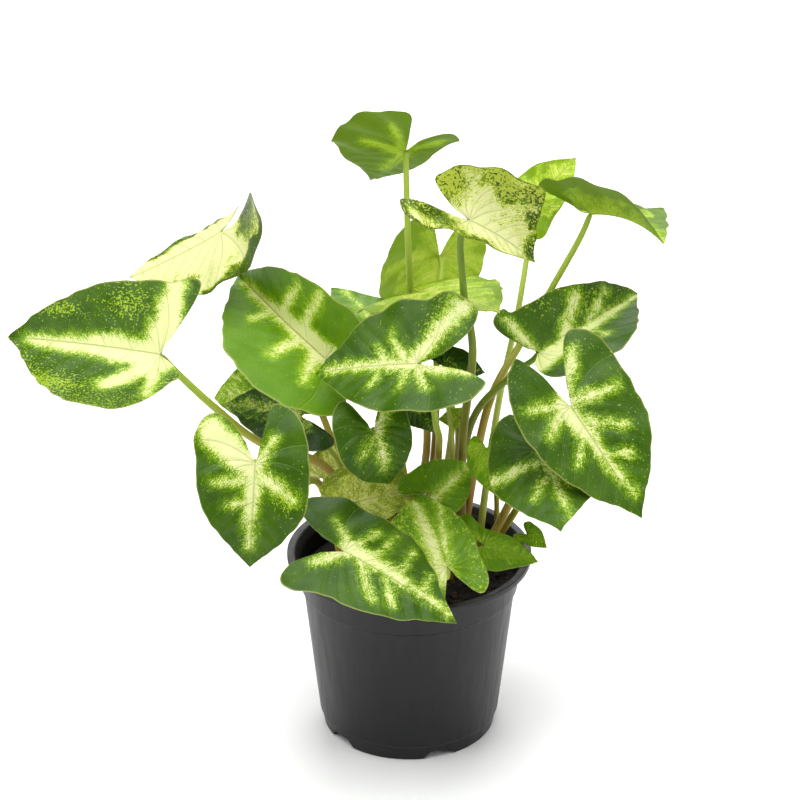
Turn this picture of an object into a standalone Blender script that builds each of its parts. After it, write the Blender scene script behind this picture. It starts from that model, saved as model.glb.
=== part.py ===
"""Arrowhead plant in a round nursery pot.

The pot stands on the floor with its axis on Z, and the middle of its base is the origin.
The front of the plant faces -Y. Sizes in the tables are millimetres and degrees, and the
functions turn them into metres.
"""
import math
from dataclasses import dataclass

import bmesh
import bpy
from mathutils import Matrix, Vector

MM = 0.001

# Nursery pot: radii and heights of the turned wall
RIM_RADIUS = 60.0
RIM_TOP = 94.0
RIM_DEPTH = 3.0
RIM_WALL = 1.5
RIM_ROUND = 0.7
COLLAR_TOP_RADIUS = 54.4
COLLAR_RADIUS = 53.2
COLLAR_STEP_HEIGHT = 76.8
COLLAR_STEP = 1.3
FOOT_RADIUS = 44.5
FOOT_HEIGHT = 8.5
FOOT_STEP = 0.7
BASE_RADIUS = 42.5
BASE_EDGE = 0.6
POT_WALL = 1.4
FLOOR_TOP = 6.0
POT_SEGMENTS = 48

# Drainage: trapezoidal channels under the base that run out through the foot
CHANNEL_COUNT = 5
CHANNEL_FIRST_ANGLE = -69.0
CHANNEL_START = 15.0
CHANNEL_LOW_WIDTH = 17.0
CHANNEL_HIGH_WIDTH = 10.0
CHANNEL_HEIGHT = 4.4
DRAIN_RADIUS = 3.5
DRAIN_RING = 29.0
DRAIN_SIDES = 12

# Soil
FIT_GAP = 0.4
SOIL_EDGE_HEIGHT = 82.0
SOIL_CROWN = 2.2
SOIL_LUMP = 0.8
SOIL_RINGS = (10.0, 20.0, 30.0, 40.0, 47.0)
HOLE_DEPTH = 7.0
HOLE_GAP = 0.3
HOLE_SIDES = 8

# Leaves
BLADE_THICKNESS = 0.7
LOBE_REACH = 0.55
FRONT_ROWS = 7
SHOULDER_ROWS = 4
NOTCH_STEPS = (0.45, 0.82)
ACROSS = 3
SMALL_LENGTH = 30.0
SMALL_FRONT_ROWS = 5
SMALL_SHOULDER_ROWS = 3
SMALL_NOTCH_STEPS = (0.7,)
SMALL_ACROSS = 2
FAN_STEP = 5.0
SINUS_HALF = 7.0
SINUS_REACH = 0.35
PETIOLE_STEPS = 9
PETIOLE_FOOT_SWELL = 1.25
PETIOLE_NECK = 0.4


@dataclass(frozen=True)
class Half:
    """One half of a blade beside the midrib, laid flat.

    width: from the midrib to the margin at the widest place
    at: how far that place lies in front of the petiole
    back, out: where the lobe's tip lies behind and beside the petiole
    fold, curl: rise of the half at the midrib, and the turn it gains by the margin
    fullness: roundness of the lobe's tip
    tip, notch: angles of the margin at the leaf's tip and at the petiole
    """
    width: float
    at: float
    back: float
    out: float
    fold: float = 9.0
    curl: float = -14.0
    fullness: float = 0.4
    tip: float = 40.0
    notch: float = 28.0


@dataclass(frozen=True)
class Leaf:
    """A blade on its petiole.

    at: the place where the petiole meets the blade
    aim: heading and pitch of the midrib, and roll about it
    length: midrib from petiole to tip
    droop, lobe_drop: how far the midrib and the lobes bend down along their length
    foot: where the petiole stands in the soil
    via: places that the petiole passes on its way up
    wave, ripples, phase: height, number and start of the ripples along the margin
    """
    name: str
    at: tuple
    aim: tuple
    length: float
    droop: float
    lobe_drop: float
    left: Half
    right: Half
    foot: tuple
    via: tuple = ()
    radius: float = 1.6
    wave: float = 0.8
    ripples: float = 2.5
    phase: float = 0.0
    colour: tuple = (0.08, 0.22, 0.03)


BRIGHT = (0.25, 0.42, 0.05)
CREAM = (0.60, 0.66, 0.30)

LEAVES = (
    Leaf("leaf_left_outer", (-116.5, -18, 207), (170, 5, -47), 76.5, 16, 10,
         Half(45.5, 14, 11, 13, fold=13, curl=36),
         Half(35, 3, 11, 39, fold=14, fullness=0.2, tip=50, notch=65),
         (-21, -1.5), ((-37.5, -5.5, 139), (-71, -15, 160), (-91, -16, 178), (-107.5, -13, 193.5)),
         radius=1.9, wave=1.5, ripples=3.2, phase=0.6),
    Leaf("leaf_left_cream", (-90.5, 33, 247.5), (168, -35, -13), 53, -9, -48,
         Half(30.5, 9, 34.5, 21.5, fold=-9, curl=-22, fullness=0.5, notch=3),
         Half(30.5, 6, 8, 18.5, fold=12, curl=-49),
         (-23.5, 17), ((-43.5, 55.5, 140), (-73, 57.5, 191.5)), wave=1, ripples=2.6, colour=CREAM),
    Leaf("leaf_left_large", (-39.5, -9.5, 201), (140, 24, -56), 72, 25, 8,
         Half(40.5, 10, 27.5, 21.5, fold=50, curl=-5),
         Half(33.5, 5, 11, 32.5, fold=38, curl=-4, tip=45),
         (-14.5, 21.5), ((-30, 23.5, 139.5),), radius=1.8),
    Leaf("leaf_middle_back", (-5, 26.5, 192), (132, 23, -11), 54, 19, 12,
         Half(30.5, 6, 17.5, 25.5),
         Half(26.5, 3, 8, 20.5, fold=-6, curl=-21),
         (14.5, 12), ((24, 21.5, 138.5), (17.5, 24, 166))),
    Leaf("leaf_middle_front", (3, -51.5, 218), (162, -10, -39), 52.5, 15, 9,
         Half(26.5, 5, 34.5, 11, fold=12, curl=-10, notch=3),
         Half(31.5, 4, 23.5, 30.5, fold=11, curl=-4, notch=13),
         (9.5, 3), ((14, -1.5, 147.5), (12.5, -34.5, 178.5)), wave=1.2),
    Leaf("leaf_back_bright", (14.5, 71.5, 219.5), (103, -65, 3), 52, 9, 3,
         Half(31.5, 13.5, 31.5, 13.5, fold=3, curl=-26, notch=19),
         Half(23.5, 6, 23.5, 13.5, fold=7, curl=-16),
         (6.5, 12.5), ((12.5, 11.5, 150.5), (13, 34.5, 205)), radius=1.5, colour=BRIGHT),
    Leaf("leaf_back_level", (7, 11.5, 226), (-52, 17, 1), 56, 16, 16,
         Half(30, 6, 32, 6, curl=-16, tip=49),
         Half(29, 4, 27, 21, fold=6, curl=-19),
         (11, 19.5), ((20.5, 18.5, 150), (16, 21, 187.5)), radius=1.4, colour=BRIGHT),
    Leaf("leaf_top", (-2, 32, 289.5), (121, -43, 26), 47, -16, 6,
         Half(34.5, 5, 33.5, 16.5, fold=11, curl=-8),
         Half(15, 3, 22.5, 16.5, fold=15, fullness=0.5, notch=20),
         (-1.5, 11), ((8.5, 7.5, 148.5), (2.5, 25.5, 195), (-0.5, 13.5, 243.5)), colour=BRIGHT),
    Leaf("leaf_top_cream", (27.5, -27.5, 278), (1, -27, 27), 37, 20, 0,
         Half(30, 18.5, 21.5, 14.5, fold=13, curl=48, notch=19),
         Half(14.5, 3, 35, 13.5, fold=22, curl=-12, fullness=0.5, notch=4),
         (26, 3.5), ((25.5, 0.5, 151.5), (29, -33.5, 215), (24.5, -27.5, 245)),
         radius=1.8, wave=1.4, ripples=2.2, colour=CREAM),
    Leaf("leaf_back_right", (60.5, 59, 252.5), (32, 41, 38), 31, 17, 11,
         Half(15, 3, 13, 13),
         Half(12, 2, 14, 12, curl=-12),
         (34.5, 22.5), ((43.5, 46, 147.5), (53, 47.5, 201.5)), radius=1.5, colour=BRIGHT),
    Leaf("leaf_right_top", (86.5, 44.5, 253.5), (-41, 17, -33), 52, 39, -10,
         Half(28.5, 7, 25.5, 23.5, fold=34, curl=-20),
         Half(27.5, 4, 21.5, 19.5, fold=43, curl=-44),
         (25.5, 10), ((37, 10.5, 163.5), (54.5, 40, 187.5), (69, 39.5, 217)), radius=1.7, wave=1),
    Leaf("leaf_right_back", (61.5, 11.5, 195), (39, 14, 33), 68.5, 11, -3,
         Half(23, 0, 10, 26, fold=24, curl=-11, tip=54, notch=50),
         Half(37, 12, 10, 29, fold=37, curl=4, fullness=0.3),
         (20.5, 13), ((29, 6, 157.5), (47.5, 12, 181))),
    Leaf("leaf_right_front", (74.5, -39.5, 190.5), (-43, -41, 23), 60.5, 10, 6,
         Half(32, 10, 30, 26),
         Half(30, 7, 33, 9, fold=15, curl=-11, notch=18),
         (32.5, 4), ((44.5, 3, 108.5), (61, -5.5, 154.5), (64.5, -8.5, 174.5)), radius=1.8),
    Leaf("leaf_right_low", (59.5, -40.5, 168.5), (-79, -22, 9), 51.5, -7, 5,
         Half(29.5, 6, 24.5, 23.5, fold=-1, curl=-19),
         Half(25.5, 11.5, 27.5, 8, fold=4, curl=-23, fullness=0.3),
         (39.5, 17.5), ((54, 11, 114),)),
    Leaf("leaf_young_right", (36.5, -19, 158.5), (-85, -37, 32), 22.5, 18, 14,
         Half(11, 2, 11, 9),
         Half(12, 2, 10, 9, fold=4, curl=-20, notch=33),
         (43, 11), ((42.5, 10.5, 119),), radius=1.2, wave=0.3, colour=BRIGHT),
    Leaf("leaf_middle_low", (11, -21.5, 137), (31, 25, 43), 26.5, 26, 11,
         Half(14, 2, 12, 12),
         Half(15, 3, 11, 11),
         (6.5, -2), radius=1.3, wave=0.5, colour=BRIGHT),
    Leaf("leaf_front_right", (17.5, -66, 121.5), (108, 33, -6), 47, 26, 9,
         Half(30.5, 9, 22.5, 13.5, fold=15, curl=-7),
         Half(16.5, 4, 16.5, 14.5, fullness=0.3),
         (19.5, -8.5), colour=BRIGHT),
    Leaf("leaf_low_right", (36, -22, 108.5), (-13, -6, 27), 27, 20, 10,
         Half(9, 1, 16, 14, fold=11, curl=-10),
         Half(14, 2, 13, 12, fold=7),
         (32.5, -5.5), radius=1.3, wave=0.4, colour=BRIGHT),
    Leaf("leaf_tiny_right", (58, -1, 103), (-39, -15, 37), 11, 18, 12,
         Half(6, 1, 6, 5),
         Half(5, 1, 6, 5),
         (39.5, 8.5), radius=0.9, wave=0.2, colour=BRIGHT),
    Leaf("leaf_front_left", (-29.5, -76, 134.5), (-29, -14, 22), 61.5, 19, 12,
         Half(30, 7, 34, 22.5, fold=-2, curl=-20, tip=30, notch=3),
         Half(25.5, 6, 16.5, 29.5, fold=5, curl=-17, fullness=0.3),
         (-16, -6.5), radius=1.8, wave=1.2, ripples=3),
    Leaf("leaf_left_low", (-70, -68.5, 175.5), (-95, -59, -8), 50.5, 41, 13,
         Half(25.5, 12.5, 28.5, 11.5, curl=-11, notch=23),
         Half(27.5, 4, 20.5, 24.5, notch=23),
         (-31, -11), ((-41.5, -2.5, 127.5), (-51.5, -22, 144)), radius=1.7),
    Leaf("leaf_middle_hanging", (-16.5, -52.5, 184), (-58, -58, 29), 32, 69, 13,
         Half(17.5, 2, 14.5, 14.5, fold=2, curl=-17),
         Half(18.5, 5, 16.5, 12.5, fold=15, curl=-9),
         (-3, 2), ((-3, 1.5, 139),), radius=1.5, wave=0.6),
    Leaf("leaf_middle_yellow", (-24, -23, 132.5), (6, 15, 33), 33, 24, 12,
         Half(21, 4, 16, 13, fold=13, curl=-10, tip=45),
         Half(15, 2, 13, 13, fold=12, curl=-10),
         (-8, 19.5), ((-10.5, 10.5, 116),), radius=1.5, wave=0.6, colour=BRIGHT),
    Leaf("leaf_left_shaded", (-53, 13.5, 160.5), (168, 6, -28), 38, 8, 11,
         Half(21, 4, 20, 14),
         Half(19, 2, 16, 16, fold=5),
         (-25, 7.5), ((-33, 6.5, 135),), radius=1.5, wave=0.5),
    Leaf("leaf_left_pale", (-68, 33.5, 162.5), (168, -7, -52), 32, 25, 10,
         Half(16, 2, 15, 14, fold=7),
         Half(18, 4, 14, 14, fold=13, curl=-11),
         (-24, 27), ((-44.5, 50, 123.5),), radius=1.5, wave=0.6, colour=BRIGHT),
    Leaf("leaf_middle_dark", (-2, 1, 175.5), (-42, -28, 25), 22, 17, 12,
         Half(12, 2, 10, 10),
         Half(11, 1, 11, 8, fold=12, curl=-11),
         (1, 17), ((-7.5, 24.5, 145),), radius=1.3, wave=0.4),
    Leaf("leaf_scale", (23, 4.5, 163.5), (-178, -1, -43), 9, 17, 12,
         Half(5, 1, 5, 4),
         Half(5, 1, 5, 4, fold=7),
         (26.5, 16.5), ((29.5, 34, 129.5),), radius=0.9, wave=0.1, colour=BRIGHT),
    Leaf("leaf_inner_dark", (17, 0, 193), (-6, -2, 35), 19, 19, 12,
         Half(11, 2, 10, 8, fold=11, curl=-11),
         Half(10, 2, 10, 8, fold=7),
         (20, 7), ((20.5, -2, 152.5),), radius=1.2, wave=0.3),
    Leaf("leaf_young_left", (-42.5, 26, 121), (35, 49, 29), 20.5, 18, 12,
         Half(11, 2, 9, 8, curl=-12),
         Half(10, 2, 10, 8),
         (-13, 13.5), radius=1.1, wave=0.3, colour=CREAM),
)


def clear_scene() -> None:
    """Remove every object that the scene starts with."""
    for item in list(bpy.data.objects):
        bpy.data.objects.remove(item, do_unlink=True)


def new_collection(name: str) -> bpy.types.Collection:
    """Add a collection under the scene's own."""
    group = bpy.data.collections.new(name)
    bpy.context.scene.collection.children.link(group)
    return group


def new_material(name: str, colour: tuple, roughness: float) -> bpy.types.Material:
    """Make a plain Principled material with one linear colour."""
    material = bpy.data.materials.new(name)
    material.use_nodes = True
    shader = material.node_tree.nodes["Principled BSDF"]
    shader.inputs["Base Color"].default_value = (*colour, 1.0)
    shader.inputs["Roughness"].default_value = roughness
    shader.inputs["Metallic"].default_value = 0.0
    material.diffuse_color = (*colour, 1.0)
    return material


def add_object(name: str, mesh: bpy.types.Mesh, group: bpy.types.Collection) -> bpy.types.Object:
    """Link a new object with the given mesh to a collection."""
    item = bpy.data.objects.new(name, mesh)
    group.objects.link(item)
    return item


def add_cutter(name: str, mesh: bpy.types.Mesh, group: bpy.types.Collection) -> bpy.types.Object:
    """Link a cutter, which is drawn as wire and left out of renders."""
    item = add_object(name, mesh, group)
    item.hide_render = True
    item.display_type = "WIRE"
    return item


def add_boolean(item: bpy.types.Object, operation: str, other: bpy.types.Object) -> None:
    """Cut or join an object with a second one."""
    step = item.modifiers.new(other.name, "BOOLEAN")
    step.operation = operation
    step.solver = "EXACT"
    step.object = other


def turn_profile(name: str, profile: list, group: bpy.types.Collection) -> bpy.types.Object:
    """Turn a profile of (radius, height) points in metres round Z into a closed body."""
    shape = bmesh.new()
    corners = [shape.verts.new((radius, 0.0, height)) for radius, height in profile]
    for start, end in zip(corners, corners[1:]):
        shape.edges.new((start, end))
    mesh = bpy.data.meshes.new(name)
    shape.to_mesh(mesh)
    shape.free()
    item = add_object(name, mesh, group)
    screw = item.modifiers.new("turn", "SCREW")
    screw.axis = "Z"
    screw.steps = POT_SEGMENTS
    screw.render_steps = POT_SEGMENTS
    screw.use_merge_vertices = True
    screw.merge_threshold = 0.00001
    screw.use_normal_calculate = False
    return item


def pot_profile() -> list:
    """List the pot's section from the floor's middle, up inside, over the rim and down."""
    inner_top = COLLAR_TOP_RADIUS - POT_WALL
    inner_foot = FOOT_RADIUS - POT_WALL
    rim_inside = RIM_RADIUS - RIM_WALL
    wall_top = COLLAR_RADIUS - COLLAR_STEP
    points = (
        (0.0, FLOOR_TOP),
        (inner_foot, FLOOR_TOP),
        (inner_top, RIM_TOP - 4.0),
        (inner_top + 2.6, RIM_TOP - RIM_ROUND),
        (inner_top + 3.3, RIM_TOP),
        (RIM_RADIUS - RIM_ROUND, RIM_TOP),
        (RIM_RADIUS, RIM_TOP - RIM_ROUND),
        (RIM_RADIUS - 0.3, RIM_TOP - RIM_DEPTH),
        (rim_inside - 0.3, RIM_TOP - RIM_DEPTH),
        (rim_inside, RIM_TOP - RIM_WALL),
        (COLLAR_TOP_RADIUS, RIM_TOP - RIM_WALL - 0.6),
        (COLLAR_RADIUS, COLLAR_STEP_HEIGHT),
        (wall_top, COLLAR_STEP_HEIGHT - COLLAR_STEP),
        (FOOT_RADIUS, FOOT_HEIGHT),
        (FOOT_RADIUS - FOOT_STEP, FOOT_HEIGHT - FOOT_STEP),
        (BASE_RADIUS, BASE_EDGE),
        (BASE_RADIUS - BASE_EDGE, 0.0),
        (0.0, 0.0),
    )
    return [(radius * MM, height * MM) for radius, height in points]


def radial_turns() -> list:
    """List the turn about Z of each drainage channel."""
    first = math.radians(CHANNEL_FIRST_ANGLE)
    return [Matrix.Rotation(first + 2.0 * math.pi * number / CHANNEL_COUNT, 4, "Z")
            for number in range(CHANNEL_COUNT)]


def channel_mesh() -> bpy.types.Mesh:
    """Make the cutter of the drainage channels, bars with sloping sides."""
    shape = bmesh.new()
    length = BASE_RADIUS + 8.0 - CHANNEL_START
    slope = (CHANNEL_LOW_WIDTH - CHANNEL_HIGH_WIDTH) / CHANNEL_HEIGHT
    for turn in radial_turns():
        bar = bmesh.ops.create_cube(shape, size=1.0)["verts"]
        for corner in bar:
            height = CHANNEL_HEIGHT if corner.co.z > 0 else -1.0
            width = CHANNEL_LOW_WIDTH - slope * height
            along = CHANNEL_START + (corner.co.x + 0.5) * length
            corner.co = Vector((along, corner.co.y * width, height)) * MM
        bmesh.ops.transform(shape, matrix=turn, verts=bar)
    mesh = bpy.data.meshes.new("channels")
    shape.to_mesh(mesh)
    shape.free()
    return mesh


def drain_mesh() -> bpy.types.Mesh:
    """Make the cutter of the round drain holes, one in the roof of each channel."""
    shape = bmesh.new()
    middle = 0.5 * (CHANNEL_HEIGHT + FLOOR_TOP)
    for turn in radial_turns():
        drain = bmesh.ops.create_cone(shape, cap_ends=True, segments=DRAIN_SIDES,
                                      radius1=DRAIN_RADIUS * MM, radius2=DRAIN_RADIUS * MM,
                                      depth=4.0 * (FLOOR_TOP - CHANNEL_HEIGHT) * MM)["verts"]
        place = turn @ Matrix.Translation((DRAIN_RING * MM, 0.0, middle * MM))
        bmesh.ops.transform(shape, matrix=place, verts=drain)
    mesh = bpy.data.meshes.new("drains")
    shape.to_mesh(mesh)
    shape.free()
    return mesh


def build_pot(group: bpy.types.Collection, cutters: bpy.types.Collection) -> None:
    """Turn the pot and cut its drainage channels and holes."""
    pot = turn_profile("pot", pot_profile(), group)
    add_boolean(pot, "DIFFERENCE", add_cutter("channels", channel_mesh(), cutters))
    add_boolean(pot, "DIFFERENCE", add_cutter("drains", drain_mesh(), cutters))
    pot.data.materials.append(new_material("polypropylene_black", (0.012, 0.012, 0.013), 0.42))


def soil_height(x: float, y: float) -> float:
    """Give the height of the soil at a place, all in millimetres."""
    reach = math.hypot(x, y) / BASE_RADIUS
    crown = SOIL_CROWN * (1.0 - min(reach, 1.2) ** 2 / 1.44)
    lump = math.sin(0.31 * x + 1.3) * math.sin(0.27 * y + 0.4) + 0.5 * math.sin(0.19 * (x + y))
    return SOIL_EDGE_HEIGHT + crown + SOIL_LUMP * lump


def build_soil(group: bpy.types.Collection, cutters: bpy.types.Collection) -> None:
    """Fill the pot with a plug of soil, uneven on top, with a hole for each petiole."""
    slope = (COLLAR_TOP_RADIUS - FOOT_RADIUS) / (RIM_TOP - 4.0 - FLOOR_TOP)
    bottom = FLOOR_TOP + FIT_GAP
    inner_foot = FOOT_RADIUS - POT_WALL - FIT_GAP
    edge = inner_foot + slope * (SOIL_EDGE_HEIGHT - FLOOR_TOP)
    profile = [(0.0, bottom), (inner_foot, bottom), (edge, SOIL_EDGE_HEIGHT)]
    profile += [(radius, SOIL_EDGE_HEIGHT) for radius in reversed(SOIL_RINGS)]
    profile += [(0.0, SOIL_EDGE_HEIGHT)]
    shape = bmesh.new()
    rings = []
    for radius, height in profile:
        count = POT_SEGMENTS if radius > 0.0 else 1
        ring = []
        for step in range(count):
            angle = 2.0 * math.pi * step / POT_SEGMENTS
            x, y = radius * math.cos(angle), radius * math.sin(angle)
            z = soil_height(x, y) if 0 < height - bottom and radius < edge - 1.0 else height
            ring.append(shape.verts.new((x * MM, y * MM, z * MM)))
        rings.append(ring)
    for low, high in zip(rings, rings[1:]):
        for step in range(POT_SEGMENTS):
            after = (step + 1) % POT_SEGMENTS
            corners = [low[step % len(low)], low[after % len(low)],
                       high[after % len(high)], high[step % len(high)]]
            shape.faces.new(list(dict.fromkeys(corners)))
    bmesh.ops.recalc_face_normals(shape, faces=shape.faces)
    bmesh.ops.triangulate(shape, faces=shape.faces)
    mesh = bpy.data.meshes.new("soil")
    shape.to_mesh(mesh)
    shape.free()
    soil = add_object("soil", mesh, group)
    add_boolean(soil, "DIFFERENCE", add_cutter("holes", hole_mesh(), cutters))
    soil.data.materials.append(new_material("potting_soil", (0.018, 0.012, 0.008), 0.95))


def hole_mesh() -> bpy.types.Mesh:
    """Make the cutter of the plain holes that the petioles stand in."""
    shape = bmesh.new()
    for leaf in LEAVES:
        radius = (leaf.radius * PETIOLE_FOOT_SWELL + HOLE_GAP) / math.cos(math.pi / HOLE_SIDES)
        hole = bmesh.ops.create_cone(shape, cap_ends=True, segments=HOLE_SIDES,
                                     radius1=radius * MM, radius2=radius * MM,
                                     depth=2.0 * HOLE_DEPTH * MM)["verts"]
        place = Vector((*leaf.foot, soil_height(*leaf.foot))) * MM
        bmesh.ops.translate(shape, vec=place, verts=hole)
    mesh = bpy.data.meshes.new("holes")
    shape.to_mesh(mesh)
    shape.free()
    return mesh


def bezier(points: tuple, t: float) -> Vector:
    """Give the point at t on a cubic curve."""
    a, b, c, d = points
    s = 1.0 - t
    return s ** 3 * a + 3 * s * s * t * b + 3 * s * t * t * c + t ** 3 * d


def margin_curves(half: Half, length: float) -> tuple:
    """Lay out the margin of a flat half: tip to shoulder, to the lobe's tip, to the petiole."""
    tip = Vector((length, 0.0))
    shoulder = Vector((half.at, half.width))
    lobe = Vector((-half.back, half.out))
    spread = math.atan2(half.out, half.back)
    inward = Vector((-math.sin(spread), -math.cos(spread)))
    reach = lobe.length * half.fullness
    front = length - half.at
    tip_angle = math.radians(half.tip)
    notch = math.radians(half.notch)
    first = (tip, tip + 0.33 * front * Vector((-math.cos(tip_angle), math.sin(tip_angle))),
             shoulder + Vector((0.45 * front, 0.0)), shoulder)
    second = (shoulder, shoulder - Vector((0.5 * (half.at + half.back), 0.0)),
              lobe - reach * inward, lobe)
    third = (lobe, lobe + 0.8 * reach * inward,
             0.5 * lobe.length * Vector((-math.cos(notch), math.sin(notch))), Vector((0.0, 0.0)))
    return first, second, third


def fan_margin(half: Half, length: float) -> list:
    """List the margin behind the shoulder, each point further round the petiole."""
    _, second, third = margin_curves(half, length)
    small = length < SMALL_LENGTH
    count = SMALL_SHOULDER_ROWS if small else SHOULDER_ROWS
    points = [bezier(second, step / count) for step in range(1, count + 1)]
    points += [bezier(third, t) for t in (SMALL_NOTCH_STEPS if small else NOTCH_STEPS)]
    last = math.radians(180.0 - SINUS_HALF)
    angle = math.atan2(half.width, half.at)
    placed = []
    for number, point in enumerate(points):
        left = len(points) - 1 - number
        angle = max(math.atan2(max(point.y, 0.0), point.x), angle + math.radians(FAN_STEP))
        angle = min(angle, last - math.radians(FAN_STEP) * left)
        reach = max(point.length, SINUS_REACH * math.hypot(half.back, half.out))
        placed.append(reach * Vector((math.cos(angle), math.sin(angle))))
    return placed


def blade_rows(half: Half, length: float) -> list:
    """List the rows of a flat half as (spine point, margin point) from tip to notch."""
    first = margin_curves(half, length)[0]
    count = SMALL_FRONT_ROWS if length < SMALL_LENGTH else FRONT_ROWS
    rows = []
    for step in range(count + 1):
        t = step / count
        rows.append((Vector((length * (1.0 - t), 0.0)), bezier(first, t)))
    rows += [(Vector((0.0, 0.0)), point) for point in fan_margin(half, length)]
    return rows


def bend(leaf: Leaf, half: Half, side: float, flat: Vector) -> Vector:
    """Bend a point of the flat blade into the leaf's own space, with the midrib along X."""
    along, across = flat
    turn = math.radians(leaf.droop) / leaf.length
    if along < 0.0:
        turn = math.radians(leaf.lobe_drop) / (LOBE_REACH * leaf.length)
    turn = turn or 1e-6
    reach = 0.5 * leaf.length
    fold = math.radians(half.fold)
    curl = math.radians(half.curl) or 1e-5
    share = across / reach
    out = (math.sin(fold + curl * share) - math.sin(fold)) * reach / curl
    rise = (math.cos(fold) - math.cos(fold + curl * share)) * reach / curl
    ripple = math.sin(2.0 * math.pi * leaf.ripples * along / leaf.length + leaf.phase + side)
    rise += leaf.wave * ripple * min(share, 1.0) ** 2
    angle = turn * along
    return Vector((math.sin(angle) / turn + rise * math.sin(angle),
                   side * out,
                   (math.cos(angle) - 1.0) / turn + rise * math.cos(angle)))


def leaf_space(leaf: Leaf) -> Matrix:
    """Give the matrix from the leaf's own space to the plant's, in millimetres."""
    heading, pitch, roll = (math.radians(angle) for angle in leaf.aim)
    return (Matrix.Translation(leaf.at) @ Matrix.Rotation(heading, 4, "Z")
            @ Matrix.Rotation(-pitch, 4, "Y") @ Matrix.Rotation(roll, 4, "X"))


def blade_mesh(leaf: Leaf) -> bpy.types.Mesh:
    """Make the upper face of a blade as rows of triangles on both sides of the midrib."""
    shape = bmesh.new()
    space = leaf_space(leaf)
    known = {}

    def corner(half: Half, side: float, flat: Vector) -> bmesh.types.BMVert:
        """Give the vertex of a flat point, the same one for both halves on the midrib."""
        key = (round(flat.x, 3), round(side * flat.y, 3))
        if key not in known:
            known[key] = shape.verts.new(space @ bend(leaf, half, side, flat) * MM)
        return known[key]

    across = SMALL_ACROSS if leaf.length < SMALL_LENGTH else ACROSS
    for half, side in ((leaf.left, 1.0), (leaf.right, -1.0)):
        rows = []
        for spine, margin in blade_rows(half, leaf.length):
            places = [spine.lerp(margin, step / across) for step in range(across + 1)]
            rows.append([corner(half, side, place) for place in places])
        for row, after in zip(rows, rows[1:]):
            for step in range(across):
                square = (row[step], row[step + 1], after[step + 1], after[step])
                for triangle in ((square[0], square[1], square[2]), (square[0], square[2], square[3])):
                    if len(set(triangle)) == 3:
                        shape.faces.new(triangle if side > 0 else triangle[::-1])
    mesh = bpy.data.meshes.new(leaf.name)
    shape.to_mesh(mesh)
    shape.free()
    return mesh


def petiole_path(leaf: Leaf) -> list:
    """List points and radii up the petiole, from its foot in the soil into the blade."""
    space = leaf_space(leaf)
    turn = space.to_3x3()
    up, ahead = turn @ Vector((0, 0, 1)), turn @ Vector((1, 0, 0))
    at = Vector(leaf.at)
    foot = Vector((*leaf.foot, soil_height(*leaf.foot) - HOLE_DEPTH + HOLE_GAP))
    ground = Vector((*leaf.foot, soil_height(*leaf.foot) + 1.0))
    size = min(1.0, max(0.5, leaf.length / 45.0))
    neck = at - up * 4.5 * size - ahead * 1.0 * size
    stops = [ground, *(Vector(place) for place in leaf.via), neck]
    if leaf.via:
        start = (stops[1] - ground) * 0.5 + Vector((0, 0, 0.2)) * (stops[1] - ground).length
    else:
        start = Vector((0, 0, 1)) * (neck - ground).length
    arrive = (at - neck).normalized() * (stops[-1] - stops[-2]).length * 0.7
    path = smooth_path(stops, start, arrive)
    top = [(at - up * 2.0 * size - ahead * 0.2 * size, 0.75),
           (at - up * 0.4 + ahead * 0.6 * size, PETIOLE_NECK)]
    count = len(path) - 1
    points = [(foot, PETIOLE_FOOT_SWELL)]
    points += [(place, PETIOLE_FOOT_SWELL + (0.85 - PETIOLE_FOOT_SWELL) * step / count)
               for step, place in enumerate(path)]
    return points + top


def smooth_path(stops: list, start: Vector, end: Vector) -> list:
    """Run one smooth curve through the stops, with the slopes given at its two ends."""
    slopes = [start]
    for before, after in zip(stops, stops[2:]):
        slopes.append((after - before) * 0.5)
    slopes.append(end)
    spans = len(stops) - 1
    path = []
    for step in range(PETIOLE_STEPS):
        place = step / (PETIOLE_STEPS - 1) * spans
        span = min(int(place), spans - 1)
        t = place - span
        a, b = stops[span], stops[span + 1]
        curve = (a, a + slopes[span] / 3.0, b - slopes[span + 1] / 3.0, b)
        path.append(bezier(curve, t))
    return path


def petiole_mesh(leaf: Leaf) -> bpy.types.Mesh:
    """Make the closed mesh of a petiole from a round curve with filled caps."""
    curve = bpy.data.curves.new(leaf.name + "_petiole", "CURVE")
    curve.dimensions = "3D"
    curve.bevel_depth = leaf.radius * MM
    curve.bevel_resolution = 1
    curve.use_fill_caps = True
    path = petiole_path(leaf)
    spline = curve.splines.new("POLY")
    spline.points.add(len(path) - 1)
    for point, (place, swell) in zip(spline.points, path):
        point.co = (*(place * MM), 1.0)
        point.radius = swell
    guide = add_object(leaf.name + "_guide", curve, bpy.context.scene.collection)
    scene_graph = bpy.context.evaluated_depsgraph_get()
    mesh = bpy.data.meshes.new_from_object(guide.evaluated_get(scene_graph))
    bpy.data.objects.remove(guide, do_unlink=True)
    bpy.data.curves.remove(curve)
    shape = bmesh.new()
    shape.from_mesh(mesh)
    bmesh.ops.remove_doubles(shape, verts=shape.verts, dist=0.00001)
    bmesh.ops.recalc_face_normals(shape, faces=shape.faces)
    shape.to_mesh(mesh)
    shape.free()
    return mesh


def build_leaf(leaf: Leaf, group: bpy.types.Collection, cutters: bpy.types.Collection) -> None:
    """Build a blade of even thickness and join it to its petiole."""
    blade = add_object(leaf.name, blade_mesh(leaf), group)
    solid = blade.modifiers.new("thickness", "SOLIDIFY")
    solid.thickness = BLADE_THICKNESS * MM
    solid.offset = -1.0
    solid.use_even_offset = False
    add_boolean(blade, "UNION", add_cutter(leaf.name + "_petiole", petiole_mesh(leaf), cutters))
    blade.data.materials.append(new_material(leaf.name, leaf.colour, 0.38))
    blade.data.shade_smooth()


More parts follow.
